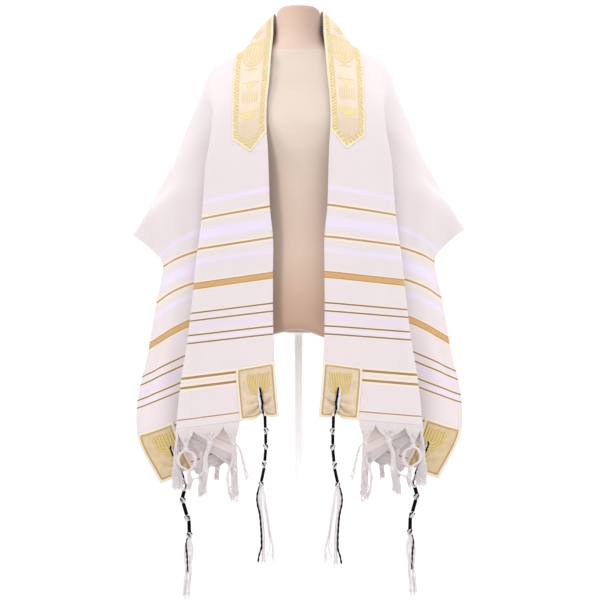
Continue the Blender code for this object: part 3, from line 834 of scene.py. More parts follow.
class Section(NamedTuple):
    """A cross-section of the drape: the points that it bends at, and its share of the fold gap."""

    s: float
    edge: tuple[float, float, float]
    fold: tuple[float, float, float]
    valley: tuple[float, float, float]
    middle: tuple[float, float, float]
    outer: tuple[float, float, float]
    hem: tuple[float, float, float]
    gap: float


class Ridge(NamedTuple):
    """A soft fold from (s0, t0) to (s1, t1), its width, and its height out of the drape."""

    s0: float
    t0: float
    s1: float
    t1: float
    width: float
    height: float


def rows_of(kind: type, *rows: Sequence[Any]) -> tuple[Any, ...]:
    """One named tuple of a kind for each row of a table."""
    return tuple(kind(*row) for row in rows)


SECTIONS = rows_of(
    Section,
    (0, (0, 64, 1243), (0, 90, 1180), (0, 106, 1105), (0, 116, 1000), (0, 122, 870), (0, 126, 733), 0),
    (45, (40, 45, 1248), (50, 78, 1196), (55, 102, 1115), (54, 116, 1005), (50, 124, 875),
     (50, 128, 737), 0),
    (90, (49.5, 3, 1250), (76, 28, 1225), (91, 82, 1145), (97, 112, 1030), (98, 126, 890),
     (100, 131, 742), 0),
    (150, (51.5, -32, 1199), (117, 2, 1175), (137, 62, 1125), (144, 104, 1010), (148, 120, 880),
     (151, 127, 748), 0),
    (200, (55, -58, 1156), (150, -12, 1156), (181, 8, 1135), (200, 70, 1050), (206, 106, 910),
     (207, 116, 758), 0),
    (250, (58, -82, 1108), (171, -66, 1092), (188, -36, 1083), (206, -14, 1066), (217, 14, 1031),
     (255, 98, 765), 0.3),
    (300, (62, -100, 1060), (173, -104, 1036), (160, -84, 1030), (208, -50, 1000), (252, 0, 953),
     (292, 62, 772), 0.7),
    (350, (63, -113, 1010), (177, -117, 983), (140, -92, 975), (215, -58, 935), (299, 0, 867),
     (322, 36, 788), 1),
    (400, (60, -121, 962), (185, -120, 935), (125, -98, 925), (205, -72, 890), (295, -40, 850),
     (337, 0, 799), 1),
    (450, (58, -123, 911), (190, -121, 880), (108, -98, 862), (200, -80, 832), (258, -56, 800),
     (292, -26, 764), 1),
    (507, (56, -124, 850), (195, -122, 825), (92, -98, 778), (200, -84, 764), (238, -70, 751),
     (272, -45, 733), 1),
    (566, (50, -124, 789), (203, -122, 765), (88, -98, 726), (210, -84, 700), (252, -70, 683),
     (286, -45, 660), 1),
    (639, (50, -124, 715), (211, -122, 692), (94, -98, 653), (220, -84, 620), (259, -72, 600),
     (300, -50, 573), 1),
    (755, (49, -124, 598), (223, -122, 578), (112, -98, 538), (237, -84, 483), (284, -76, 463),
     (324, -56, 447), 1),
    (820, (46, -123, 533), (235, -122, 509), (118, -98, 466), (250, -84, 414), (290, -78, 398),
     (320, -62, 389), 1),
    (915, (38, -122, 438), (245, -122, 411), (126, -100, 358), (196, -88, 333), (240, -80, 315),
     (275, -66, 299), 1),
)

# the large soft folds, which the solid has too
FOLDS = rows_of(
    Ridge,
    (20, 170, 52, 560, 26, 11), (95, 150, 118, 560, 30, -10), (120, 120, 190, 560, 26, 12),
    (190, 180, 262, 560, 30, -9), (215, 220, 345, 560, 24, 9), (255, 210, 455, 470, 22, 8),
    (300, 60, 560, 95, 34, 4), (560, 450, 800, 420, 26, -6),
)
# finer creases, uneven in length, depth and spacing
CREASES = rows_of(
    Ridge,
    (430, 60, 700, 90, 16, 1.6), (520, 120, 860, 140, 20, -1.8), (600, 40, 900, 60, 13, -1.2),
    (660, 170, 900, 160, 16, 1.8), (330, 110, 520, 150, 14, -1.6), (240, 90, 420, 118, 12, 1.4),
    (470, 420, 640, 400, 14, 2.2), (540, 470, 760, 500, 12, -2.0), (640, 380, 880, 370, 15, 2.4),
    (300, 300, 420, 440, 14, -2.4), (350, 330, 520, 500, 11, 2.0), (160, 240, 230, 520, 13, 2.6),
    (60, 230, 80, 520, 15, -2.4), (5, 200, 0, 520, 16, -3.0), (140, 300, 160, 520, 12, -2.2),
    (230, 330, 300, 520, 12, 2.2), (30, 185, 42, 520, 12, 4.2), (101, 200, 120, 520, 14, 3.8),
    (10, 130, 112, 330, 12, 2.2), (76, 300, 90, 520, 11, -4.6), (136, 340, 142, 520, 10, -3.8),
    (170, 270, 192, 520, 11, -4.2), (152, 170, 60, 410, 12, 1.8), (158, 420, 176, 520, 9, 3.0),
)
# tucks that the corner thread pulls into the hem: seven at the front patch, three at the outer one
TUCKS = rows_of(
    Ridge,
    (892, 28, 871, 2, 2.8, -6.0), (901, 25, 884, 0, 4.0, 3.0), (880, 26, 845, 12, 4.5, 1.6),
    (896, 38, 912, 75, 3.0, -5.5), (887, 40, 900, 76, 4.4, 2.8), (884, 40, 886, 68, 2.4, -3.2),
    (908, 36, 915, 60, 4.0, 2.0), (900, 462, 876, 446, 3.4, -3.6), (902, 468, 880, 502, 3.4, -4.0),
    (908, 464, 890, 444, 4.0, 2.2),
)


class Pull(NamedTuple):
    """Where a corner thread draws the hem up: its place, how wide, how high, and how far up it fades."""

    t: float
    width: float
    height: float
    fade: float


PULLS = (Pull(32, 10, 8, 55), Pull(464, 10, 5, 50))


@dataclass(frozen=True)
class Drape:
    """The form that half the cloth hangs in, as a function of s and t, with X away from the middle.

    Each line of constant s is a bent line through its section's points, averaged over the bend length
    so that every corner turns as a parabola.  The sections are joined by a cubic along s.  Soft folds
    are Gaussian ridges that stand along the surface's normal.
    """

    half_length: float = 915.0
    width: float = 520.0
    bend: float = 40.0
    fold_gap: float = 14.0
    normal_step: float = 2.0
    fade_in: float = 0.7
    fade_end: float = 1.25
    fade_out: float = 0.35
    ripple_seed: int = 18
    ripple_lengths: tuple[float, float] = (45.0, 170.0)
    ripples: int = 22
    ripple_share: float = 0.0012
    ripple_stretch: float = 0.6
    calm_share: float = 0.35
    calm_to: float = 120.0
    calm_fade: float = 200.0
    tuck_start: float = 6.0
    tuck_end: float = 1.4
    table_size: int = 1201

    def bend_points(self, s: Array) -> Array:
        """The eight points that each cross-section bends at, from the cubic through the sections.

        Args:
            s: n measures along the cloth.

        Returns:
            n x 8 x 3 places.
        """
        rows = np.array([np.hstack(section) for section in SECTIONS], dtype=float)
        mirrored = rows[3:0:-1] * np.array([-1] + [-1, 1, 1] * 6 + [1])
        rows = np.vstack([mirrored, rows])
        values = cubic(rows[:, 0], rows[:, 1:], s)
        edge, fold, valley, middle, outer, hem = [values[:, 3 * i:3 * i + 3] for i in range(6)]
        apart = values[:, 18:] * self.fold_gap * np.array([[0.0, 1.0, 0.0]])
        return np.stack([edge, fold, fold + apart, valley, valley + apart, middle, outer, hem], axis=1)

    def plain(self, s: Array, t: Array) -> Array:
        """Places on the drape without its soft folds.

        Args:
            s: n measures along the cloth.
            t: n x m measures across it.

        Returns:
            n x m x 3 places.
        """
        points = self.bend_points(s)
        lengths = np.linalg.norm(np.diff(points, axis=1), axis=2)
        marks = np.concatenate([np.zeros((len(points), 1)), np.cumsum(lengths, axis=1)], axis=1)
        marks *= self.width / marks[:, -1:]
        before = (points[:, 1] - points[:, 0]) / (marks[:, 1] - marks[:, 0])[:, None]
        beyond = (points[:, -1] - points[:, -2]) / (marks[:, -1] - marks[:, -2])[:, None]
        line = np.concatenate([points[:, :1] - before[:, None] * self.bend, points,
                               points[:, -1:] + beyond[:, None] * self.bend], axis=1)
        ends = np.ones((len(points), 1))
        at = np.concatenate([-self.bend * ends, marks, (self.width + self.bend) * ends], axis=1)
        fine = np.linspace(-self.bend, self.width + self.bend, self.table_size)
        k = np.clip((fine[None, :, None] >= at[:, None, 1:-1]).sum(2), 0, at.shape[1] - 2)
        low = np.take_along_axis(at, k, 1)
        part = ((fine - low) / (np.take_along_axis(at, k + 1, 1) - low))[..., None]
        path = (np.take_along_axis(line, k[..., None], 1) * (1 - part)
                + np.take_along_axis(line, k[..., None] + 1, 1) * part)
        step = fine[1] - fine[0]
        area = np.cumsum((path[:, 1:] + path[:, :-1]) / 2 * step, axis=1)
        area = np.concatenate([np.zeros_like(area[:, :1]), area], axis=1)

        def reach(t_end: Array) -> Array:
            """The area under the bent line up to a measure across the cloth.

            Args:
                t_end: n x m measures.

            Returns:
                n x m x 3 areas.
            """
            place = (t_end + self.bend) / step
            i = np.clip(place.astype(int), 0, self.table_size - 2)[..., None]
            share = place[..., None] - i
            return (np.take_along_axis(area, i, 1) * (1 - share)
                    + np.take_along_axis(area, i + 1, 1) * share)

        return (reach(t + self.bend / 2) - reach(t - self.bend / 2)) / self.bend

    def raised(self, ridges: Sequence[Ridge], s: Array, t: Array,
               fade: Callable[[Array, float], Array]) -> Array:
        """Sum of ridges: height exp(-(distance beside the run / width)^2), faded along the run.

        Args:
            ridges: the ridges.
            s: n x 1 measures along the cloth.
            t: n x m measures across it.
            fade: the share of the height at a distance along a run of some length.

        Returns:
            n x m heights.
        """
        lift = np.zeros(t.shape)
        for ridge in ridges:
            run = np.hypot(ridge.s1 - ridge.s0, ridge.t1 - ridge.t0)
            ds, dt = (ridge.s1 - ridge.s0) / run, (ridge.t1 - ridge.t0) / run
            along = (s - ridge.s0) * ds + (t - ridge.t0) * dt
            beside = (s - ridge.s0) * dt - (t - ridge.t0) * ds
            lift += ridge.height * fade(along, run) * np.exp(-(beside / ridge.width) ** 2)
        return lift

    def fold_fade(self, along: Array, run: float) -> Array:
        """A fold rises slowly along its run and ends soon after it."""
        end = smoothstep((self.fade_end * run - along) / (self.fade_out * run))
        return smoothstep(along / (self.fade_in * run)) * end

    def tuck_fade(self, along: Array, run: float) -> Array:
        """A tuck is deepest where the corner thread pulls, and fades away from there."""
        return smoothstep(along / self.tuck_start + 1) * smoothstep(self.tuck_end * (1 - along / run))

    def ripple(self, s: Array, t: Array) -> Array:
        """The slight unevenness of hanging cloth: a sum of sine waves in many directions.

        Args:
            s: n x 1 measures along the cloth.
            t: n x m measures across it.

        Returns:
            n x m heights, less at the shoulders.
        """
        draw = np.random.default_rng(self.ripple_seed)
        lift = np.zeros(t.shape)
        for length in np.linspace(*self.ripple_lengths, self.ripples):
            angle = draw.uniform(0, 2 * np.pi)
            phase = draw.uniform(0, 2 * np.pi)
            place = np.cos(angle) * s * self.ripple_stretch + np.sin(angle) * t
            lift += self.ripple_share * length * np.sin(2 * np.pi / length * place + phase)
        lively = smoothstep((s - self.calm_to) / self.calm_fade)
        return lift * (self.calm_share + (1 - self.calm_share) * lively)

    def places(self, s: Array, t: Array) -> Array:
        """Places on the middle of the cloth, with all its folds.

        Args:
            s: n measures along the cloth.
            t: measures across it, one row for all or one for each s.

        Returns:
            n x m x 3 places.
        """
        t = np.broadcast_to(t, (len(s), t.shape[-1]))
        step = self.normal_step
        along = self.plain(s + step, t) - self.plain(s - step, t)
        across = self.plain(s, t + step) - self.plain(s, t - step)
        s_column = s[:, None]
        lift = (self.raised(FOLDS + CREASES, s_column, t, self.fold_fade)
                + self.raised(TUCKS, s_column, t, self.tuck_fade) + self.ripple(s_column, t))
        drawn = np.zeros(t.shape)
        for pull in PULLS:
            near = smoothstep(1 - (self.half_length - s_column) / pull.fade)
            drawn += pull.height * near * np.exp(-((t - pull.t) / pull.width) ** 2)
        normal = unit(np.cross(along, across))
        return self.plain(s, t) + normal * lift[..., None] - along / (2 * step) * drawn[..., None]


@dataclass
class Surface:
    """The whole cloth as a grid, both halves, which everything sewn on it is placed by."""

    drape: Drape
    patch_top: float = 810.0
    band: float = 76.0
    rows: tuple[int, int] = (101, 53)
    cols: tuple[int, int] = (39, 83)
    s: Array = field(init=False)
    t: Array = field(init=False)
    place: Array = field(init=False)
    normal: Array = field(init=False)

    def __post_init__(self) -> None:
        """Works the grid out, closer together at the corner patches and the collar band."""
        form = self.drape
        half = np.concatenate([np.linspace(0, self.patch_top, self.rows[0])[:-1],
                               np.linspace(self.patch_top, form.half_length, self.rows[1])])
        inside = form.width - self.band
        self.t = np.concatenate([np.linspace(0, self.band, self.cols[0])[:-1],
                                 np.linspace(self.band, inside, self.cols[1])[:-1],
                                 np.linspace(inside, form.width, self.cols[0])])
        hung = form.places(half, self.t[None])
        hung[0, :, 0] = 0.0
        self.s = np.concatenate([-half[:0:-1], half])
        self.place = np.concatenate([HANG.on_side(hung[:0:-1], Side.L), HANG.on_side(hung, Side.R)])
        along = np.gradient(self.place, self.s, axis=0)
        across = np.gradient(self.place, self.t, axis=1)
        self.normal = unit(np.cross(along, across))

    def at(self, s: Array, t: Array, lift: Array | float = 0.0) -> Array:
        """Places on the cloth's grid, or moved out from it.

        Args:
            s: measures along the cloth, of any shape.
            t: measures across it, of the same shape.
            lift: distance out from the middle of the cloth.

        Returns:
            A place for each, along a new last axis.
        """
        s, t, lift = np.broadcast_arrays(np.asarray(s, float), np.asarray(t, float), lift)
        i = np.clip(np.searchsorted(self.s, s, "right") - 1, 0, len(self.s) - 2)
        j = np.clip(np.searchsorted(self.t, t, "right") - 1, 0, len(self.t) - 2)
        u = ((s - self.s[i]) / (self.s[i + 1] - self.s[i]))[..., None]
        v = ((t - self.t[j]) / (self.t[j + 1] - self.t[j]))[..., None]

        def blend(values: Array) -> Array:
            """Values of the grid, mixed between its lines."""
            return ((values[i, j] * (1 - u) + values[i + 1, j] * u) * (1 - v)
                    + (values[i, j + 1] * (1 - u) + values[i + 1, j + 1] * u) * v)

        return blend(self.place) + unit(blend(self.normal)) * lift[..., None]

    def facing(self, s: Array, t: Array) -> Array:
        """Directions that the cloth faces."""
        return self.at(s, t, 1.0) - self.at(s, t, 0.0)

    def told(self, s: Array, t: Array, lift: Array | float = 0.0) -> Array:
        """The same places told by their distance from the middle, before either half is hung."""
        return self.at(-np.asarray(s, float), t, lift) * np.array([-1.0, 1.0, 1.0])


# ---------------------------------------------------------------- cloth pieces


@dataclass
class Shawl:
    """The woven cloth itself, with a slightly thicker woven edge along its two long sides."""

    surface: Surface
    half_wall: float = 0.45
    edge_extra: float = 0.35
    edge_width: float = 4.0
    edge_middle: float = 3.0

    def build(self) -> None:
        """The cloth as a thin closed shell, with its own measures as UV."""
        sheet = self.surface
        s, t = np.meshgrid(sheet.s, sheet.t, indexing="ij")
        width, length = sheet.drape.width, 2 * sheet.drape.half_length
        off = np.abs(np.minimum(t, width - t) - self.edge_middle)
        wall = self.half_wall + self.edge_extra * smoothstep(1 - off / self.edge_width)
        out = sheet.normal * wall[..., None]
        skin = shell(sheet.place + out, sheet.place - out, np.stack([t, s], -1) * MM)
        made = add_piece("shawl_cloth", skin, WOVEN_CLOTH.made(), ["shawl"])
        wrong = made.data.attributes.new(WRONG_SIDE, "FLOAT", "POINT")
        wrong.data.foreach_set("value", np.repeat([0.0, 1.0], s.size).astype(np.float32))


class Stroke(NamedTuple):
    """A line of satin stitch: its points in millimetres across and up, and half its width at each."""

    points: Array
    half_width: Array | float


def upright(x: float, top: float, low: float, half_width: Array | float, count: int) -> Stroke:
    """A straight stroke from one height down or up to another."""
    return Stroke(np.stack([np.full(count, x), np.linspace(top, low, count)], 1), half_width)


def lampstand(radius: float, rise: float, stem: float, half_width: float, foot: float) -> list[Stroke]:
    """A seven-branched lampstand in satin stitch.

    Three pairs of branches are half circles about one centre with upright ends; the stem passes down
    the middle to a foot; each branch has a lamp on it with a small flame.

    Args:
        radius: of the outer pair of branches.
        rise: how far the branches stand above the circles' centre.
        stem: how far the stem goes below the centre.
        half_width: of a branch.
        foot: half the width of the foot as a share of the radius.

    Returns:
        Its strokes, about the circles' centre.
    """
    strokes = []
    turns = np.linspace(np.pi, 2 * np.pi, 33)
    arc = np.stack([np.cos(turns), np.sin(turns)], 1)
    down = np.stack([np.full(8, -1.0), np.linspace(1, 0, 9)[:-1] * rise], 1)
    tops = [0.0]
    for r in radius * np.array([1.0, 0.68, 0.36]):
        left, right = down * [r, 1], down[::-1] * [-r, 1]
        strokes.append(Stroke(np.vstack([left, arc * r, right]), half_width))
        tops += [-r, r]
    strokes.append(upright(0.0, rise, -stem, half_width * 1.1, 30))
    lamp = half_width * np.array([1.0, 1.35, 1.5, 1.2, 0.7, 0.85, 0.8, 0.5, 0.15])
    strokes += [upright(x, rise - 0.5, rise + 5.5, lamp, len(lamp)) for x in tops]
    bow = np.linspace(-1, 1, 13)
    base = np.stack([bow * radius * foot, -stem - 0.05 * radius * bow ** 2], 1)
    return strokes + [Stroke(base, half_width * 0.8)]


def lozenge(half_x: float, half_y: float, half_width: float) -> list[Stroke]:
    """A lozenge of satin stitch with a smaller filled one inside it.

    Args:
        half_x: half its width.
        half_y: half its height.
        half_width: half the width of its outline.

    Returns:
        Its strokes, about its middle.
    """
    corner = np.array([[0, half_y], [half_x, 0], [0, -half_y], [-half_x, 0], [0, half_y]], float)
    sides = [Stroke(np.linspace(a, b, 9), half_width) for a, b in zip(corner[:-1], corner[1:])]
    swell = half_x * 0.3 * np.sin(np.linspace(0.12, np.pi - 0.12, 9))
    return sides + [upright(0.0, -0.4 * half_y, 0.4 * half_y, swell, 9)]


def leaf_sprig(length: float, half_width: float) -> list[Stroke]:
    """A sprig of three leaves that open upwards from one point.

    Args:
        length: of a leaf.
        half_width: half the width of a leaf at its widest.

    Returns:
        Its strokes, from the point upwards.
    """
    up = np.linspace(0, 1, 11)
    swell = half_width * np.sin(np.pi * np.clip(up, 0.06, 0.97)) ** 0.8
    return [Stroke(np.stack([np.sin(lean) * length * up ** 1.4, np.cos(lean) * length * up], 1), swell)
            for lean in (-0.75, 0.0, 0.75)]


def squashed(strokes: Sequence[Stroke], share: float) -> list[Stroke]:
    """The same strokes, made lower."""
    return [Stroke(stroke.points * [1.0, share], stroke.half_width) for stroke in strokes]


def widened(strokes: Sequence[Stroke], extra: float) -> list[Stroke]:
    """The same strokes, wider by an outline on each side."""
    return [Stroke(stroke.points, np.asarray(stroke.half_width) + extra) for stroke in strokes]


@dataclass
class Embroidery:
    """Satin stitch on the cloth: each stroke is a low rounded ribbon with a flat underside.

    Across a stroke the height is that of half an ellipse; along it the ribbon follows the stroke's
    points, and its place comes from the cloth's own surface.
    """

    surface: Surface
    side: Side
    lift: float
    height: float
    rim: float = 0.05
    across: int = 7

    def skin(self, strokes: Sequence[Stroke], t_middle: float, s_base: float) -> Skin:
        """The strokes as one skin.

        Args:
            strokes: points across and up from the base point; up is towards the neck.
            t_middle: where x = 0 lies across the cloth.
            s_base: where y = 0 lies along it.

        Returns:
            All the strokes.
        """
        parts = []
        turn = np.linspace(-1, 1, self.across)
        bulge = np.sqrt(np.clip(1 - turn ** 2, 0, 1))
        for points, half_width in strokes:
            run = unit(np.gradient(points, axis=0))
            half = np.broadcast_to(half_width, len(points))[:, None] * turn
            s = (s_base - points[:, 1:] + run[:, :1] * half) * self.side.value
            t = t_middle + points[:, :1] + run[:, 1:] * half
            uv = np.stack(np.broadcast_arrays(half, reaches(points)[:, None]), -1) * MM
            rows = [self.surface.at(s, t, self.lift + self.rim + self.height * bulge),
                    self.surface.at(s, t, self.lift), uv]
            parts.append(shell(*(row[:, ::self.side.value] for row in rows)))
        return Skin.joined(parts)


@dataclass
class CollarBand:
    """The band along the neck edge: brocade with a gold border, figures and stitching, and two points."""

    surface: Surface
    width: float = 76.0
    side_end: float = 363.0
    point: float = 398.0
    under: float = 0.55
    face: float = 1.35
    puff: float = 0.35
    puff_width: float = 4.0
    rows: int = 241
    cols: int = 27
    stitch_pitch: float = 4.6
    stitch_length: float = 3.0
    stitch_inset: float = 1.6
    stitch_radius: float = 0.28
    stitch_lifts: tuple[float, ...] = (-0.22, 0.02, 0.1, 0.02, -0.22)
    stitch_margin: float = 4.0

    def end(self, t: Array) -> Array:
        """How far the band reaches along the cloth at each measure across it."""
        return self.point - (self.point - self.side_end) * np.abs(t / (self.width / 2) - 1)

    def build(self) -> None:
        """The band, its figures and its stitching."""
        t = np.linspace(0, self.width, self.cols)[None]
        s = np.linspace(-1, 1, self.rows)[:, None] * self.end(t)
        t = np.broadcast_to(t, s.shape)
        from_edge = np.minimum(t, self.width - t) / self.puff_width
        puff = self.puff * np.sqrt(np.clip(from_edge, 0, 1))
        outer = self.surface.at(s, t, self.face - self.puff + puff)
        inner = self.surface.at(s, t, self.under)
        band = add_piece("collar_brocade", shell(outer, inner, np.stack([t, s], -1) * MM),
                         BAND_BROCADE.made(), ["collar_band"])
        for side in Side:
            self.figures(side)
        self.stitches()

    def figures(self, side: Side) -> None:
        """Gold figures from the neck down to the point, each with how far along the band it is.

        Args:
            side: the half of the band.
        """
        sewn = Embroidery(self.surface, side, self.face, height=0.5)
        bar = [Stroke(np.stack([np.linspace(-16, 16, 12), np.zeros(12)], 1), 0.9)]
        comb = [upright(x, 11, -11, 0.9, 12) for x in np.linspace(-15, 15, 7)]
        seed = [upright(0, 7, -7, np.linspace(8.5, 0.6, 12), 12)]
        small = squashed(lampstand(19, 7, 15, 1.7, foot=0.5), 0.5)
        pale = [(lampstand(20, 52, 27, 2.1, foot=0.6), 201), (bar, 255), (comb, 286),
                (lozenge(13, 7, 1.3), 373), (leaf_sprig(11, 2.4), 383)]
        pale += [(lozenge(10, 9, 1.0), s) for s in (20, 56, 92, 126)]
        for name, figures, thread in (("figures", pale, BAND_THREAD),
                                      ("highlights", [(seed, 266), (small, 318)], BRIGHT_THREAD)):
            skin = Skin.joined([sewn.skin(strokes, self.width / 2, s) for strokes, s in figures])
            add_piece(f"collar_{name}_{side.label}", skin, thread.made())

    def stitches(self) -> None:
        """Short straight stitches along both long sides of the band."""
        end = self.side_end - self.stitch_margin
        lift = self.face + np.array(self.stitch_lifts)
        s = (np.arange(-end, end, self.stitch_pitch)[:, None]
             + np.linspace(0, self.stitch_length, len(lift)))
        parts = []
        for t in (self.stitch_inset, self.width - self.stitch_inset):
            paths = self.surface.at(s, t, lift)
            parts.append(threads(paths, self.stitch_radius, self.surface.facing(s, t), sides=5))
        add_piece("collar_stitches", Skin.joined(parts), CREAM_THREAD.made())


@dataclass
class CornerPatch:
    """A satin patch on a corner, with a twisted gold braid, a lampstand, and an eyelet for the thread."""

    surface: Surface
    side: Side
    place: str
    t_first: float
    eyelet_t: float
    figure_t: float
    top_width: float = 76.0
    top: float = 810.0
    low: float = 915.0
    width: float = 76.0
    under: float = 0.55
    face: float = 1.35
    skew: float = 0.0
    braid_inset: float = 6.2
    braid_sunk: float = 0.55
    eyelet_s: float = 855.0
    eyelet_radius: float = 2.4
    eyelet_stitches: int = 13
    eyelet_wave: float = 0.2
    eyelet_lift: float = 0.35
    eyelet_thread: float = 0.55
    centre_s: float = 849.5
    outline: float = 0.5
    half_stroke: float = 1.25
    finish: Finish = SATIN_PATCH

    @property
    def name(self) -> str:
        """Ending that the patch's pieces share."""
        return f"{self.place}_{self.side.label}"

    def build(self) -> None:
        """The satin, its braids, its figure and its eyelet."""
        self.satin()
        self.braids()
        strokes = lampstand(18, 17.5, 31, self.half_stroke, foot=0.3)
        for name, lines, lift, height, thread in (
                ("lampstand_outline", widened(strokes, self.outline), 0.0, 0.35, BROWN_THREAD),
                ("lampstand", strokes, 0.25, 0.65, GOLD_THREAD)):
            sewn = Embroidery(self.surface, self.side, self.face + lift, height)
            add_piece(f"{name}_{self.name}", sewn.skin(lines, self.figure_t, self.centre_s),
                      thread.made())
        self.eyelet()

    def satin(self) -> None:
        """The patch on the cloth's own grid points, so that it lies on every crease."""
        sheet = self.surface
        reach, across = sheet.s * self.side.value, sheet.t - self.t_first
        s = sheet.s[(reach > self.top - 0.01) & (reach < self.low + 0.01)][:, None]
        across = across[(across > -0.01) & (across < self.width + 0.01)]
        s, across = np.broadcast_arrays(s, across)
        t = self.tapered(np.abs(s), across)
        s = self.skewed(s, across)
        uv = np.stack([across, np.abs(s) - self.top], -1) * MM
        skin = shell(sheet.at(s, t, self.face), sheet.at(s, t, self.under), uv)
        made = add_piece(f"patch_satin_{self.name}", skin, self.finish.made(),
                         [f"patch_{self.name}"])

    def tapered(self, s: Array, across: Array) -> Array:
        """The measure t of a place across the patch, which can be narrower at its top."""
        share = (self.low - s) / (self.low - self.top)
        return self.t_first + across * (1 + share * (self.top_width / self.width - 1))

    def skewed(self, s: Array, across: Array) -> Array:
        """The measure s of a place on the patch, whose top edge can lie aslant of the weft."""
        share = (self.low - np.abs(s)) / (self.low - self.top)
        return s + np.sign(s) * self.skew * share * (across / self.width - 0.5)

    def braids(self) -> None:
        """A twisted cord round the patch inside its pale edge, and a finer one beside it."""
        parts = []
        for inset, radius, pitch in ((self.braid_inset, 0.55, 3.4), (self.braid_inset - 1.5, 0.38, -3.4)):
            across, s = rounded_box(inset, self.width - inset, self.top + inset, self.low - inset,
                                    radius=2.5, count=300)[:, None]
            t = self.tapered(s, across)
            s = self.skewed(s, across) * self.side.value
            centre = self.surface.at(s, t, self.face + radius * self.braid_sunk)
            parts.append(threads(centre, radius, self.surface.facing(s, t), sides=8, ply=0.22,
                                 pitch=pitch, closed=True))
        add_piece(f"braid_{self.name}", Skin.joined(parts), BRAID.made())

    def eyelet(self) -> None:
        """A buttonhole-stitched ring round the hole that the corner thread passes through."""
        turn = circle(40)[None]
        radius = self.eyelet_radius + self.eyelet_wave * np.cos(turn * self.eyelet_stitches)
        s = (self.eyelet_s + radius * np.sin(turn)) * self.side.value
        t = self.eyelet_t + radius * np.cos(turn)
        centre = self.surface.at(s, t, self.face + self.eyelet_lift)
        ring = threads(centre, self.eyelet_thread, self.surface.facing(s, t), sides=8, closed=True)
        add_piece(f"eyelet_{self.name}", ring, CREAM_THREAD.made())


def rounded_box(x0: float, x1: float, y0: float, y1: float, radius: float, count: int) -> Array:
    """Even steps round a rectangle whose corners are quarter circles.

    Args:
        x0: the left side.
        x1: the right side.
        y0: the bottom.
        y1: the top.
        radius: of the corners.
        count: how many steps.

    Returns:
        2 x count: all x and all y.
    """
    corners = []
    for k, (x, y) in enumerate(((x1 - radius, y1 - radius), (x0 + radius, y1 - radius),
                                (x0 + radius, y0 + radius), (x1 - radius, y0 + radius))):
        angle = np.linspace(0, np.pi / 2, 7) + k * np.pi / 2
        corners.append(np.stack([x + radius * np.cos(angle), y + radius * np.sin(angle)], 1))
    path = np.vstack(corners + [corners[0][:1]])
    reach = reaches(path)
    even = np.linspace(0, reach[-1], count, endpoint=False)
    return np.stack([np.interp(even, reach, line) for line in path.T])


# ---------------------------------------------------------------- fringe


class Row(NamedTuple):
    """A level of a cord: how far it is to the side of its lock's root, its drop, and half its width."""

    aside: float
    drop: float
    half_width: float


class Cord(NamedTuple):
    """A cord below a lock's knot: its share of the lock's yarns, and its levels."""

    share: float
    rows: tuple[Row, ...]


class Lock(NamedTuple):
    """The part of the hem that one lock gathers, its knots, and the cords that leave the first knot."""

    t0: float
    t1: float
    knots: tuple[Row, ...]
    cords: tuple[Cord, ...]


def cord(share: float, *rows: Sequence[float]) -> Cord:
    """A cord from its share of the yarns and the numbers of its levels."""
    return Cord(share, rows_of(Row, *rows))


# asides are away from the middle
LOCKS = (
    Lock(77, 108, rows_of(Row, (-5, 42, 3.4), (-8, 93, 4.2)), (
        cord(0.24, (-11, 45, 2.4), (-17, 54, 2.3), (-22, 74, 2.4), (-26, 92, 2.8), (-31, 106, 4.2)),
        cord(0.48, (-7, 60, 3.6), (-8, 80, 3.4), (-8, 95, 3.8), (-7, 112, 6.5), (-6, 132, 9.5),
             (-5, 155, 9.0)),
        cord(0.28, (-4, 60, 2.6), (-1, 80, 2.4), (6, 98, 2.3), (8, 116, 2.4), (5, 133, 3.0),
             (0, 150, 4.2)))),
    Lock(108, 166, rows_of(Row, (-3, 35, 4.2), (4, 90, 4.2)), (
        cord(0.62, (3, 52, 3.8), (6, 66, 3.8), (4, 86, 3.8), (6, 98, 5.5), (12, 118, 8.5),
             (17, 138, 4.5)),
        cord(0.38, (3, 52, 2.8), (7, 68, 2.7), (8, 84, 2.6), (14, 96, 2.6), (23, 104, 2.7),
             (32, 107, 2.8), (37, 116, 3.6), (38, 125, 4.4)))),
    Lock(166, 198, rows_of(Row, (-1, 42, 3.6), (-6, 86, 3.8)), (
        cord(0.5, (-15, 50, 2.8), (-20, 60, 2.8), (-19, 71, 2.8), (-9, 84, 2.8), (-8, 95, 3.2),
             (-10, 108, 4.2)),
        cord(0.5, (9, 49, 2.8), (14, 59, 2.8), (12, 71, 2.8), (-4, 84, 2.8), (-7, 95, 3.2),
             (-9, 110, 4.2)))),
    Lock(198, 242, (Row(2, 54, 4.0),),
         (cord(1.0, (2, 64, 4.6), (1, 78, 8.0), (-1, 94, 12.0), (-2, 112, 13.0)),)),
    Lock(242, 285, (Row(-12, 30, 4.0),), (cord(1.0, (-13, 40, 4.2), (-14, 60, 6.0), (-14, 84, 8.0)),)),
    Lock(285, 330, (Row(-28, 36, 4.0),), (cord(1.0, (-32, 46, 4.2), (-35, 62, 6.0), (-35, 80, 7.0)),)),
    Lock(330, 375, (Row(-2, 30, 4.0),), (cord(1.0, (-4, 42, 4.2), (-5, 60, 6.0), (-6, 78, 7.0)),)),
    Lock(375, 410, (Row(4, 15, 4.0),), (cord(1.0, (4, 21, 3.8), (5, 28, 4.6), (5, 36, 5.2)),)),
    Lock(410, 444, (Row(0, 20, 3.8),), (cord(1.0, (-1, 30, 4.0), (-1, 42, 6.0), (-2, 52, 7.0)),)),
)


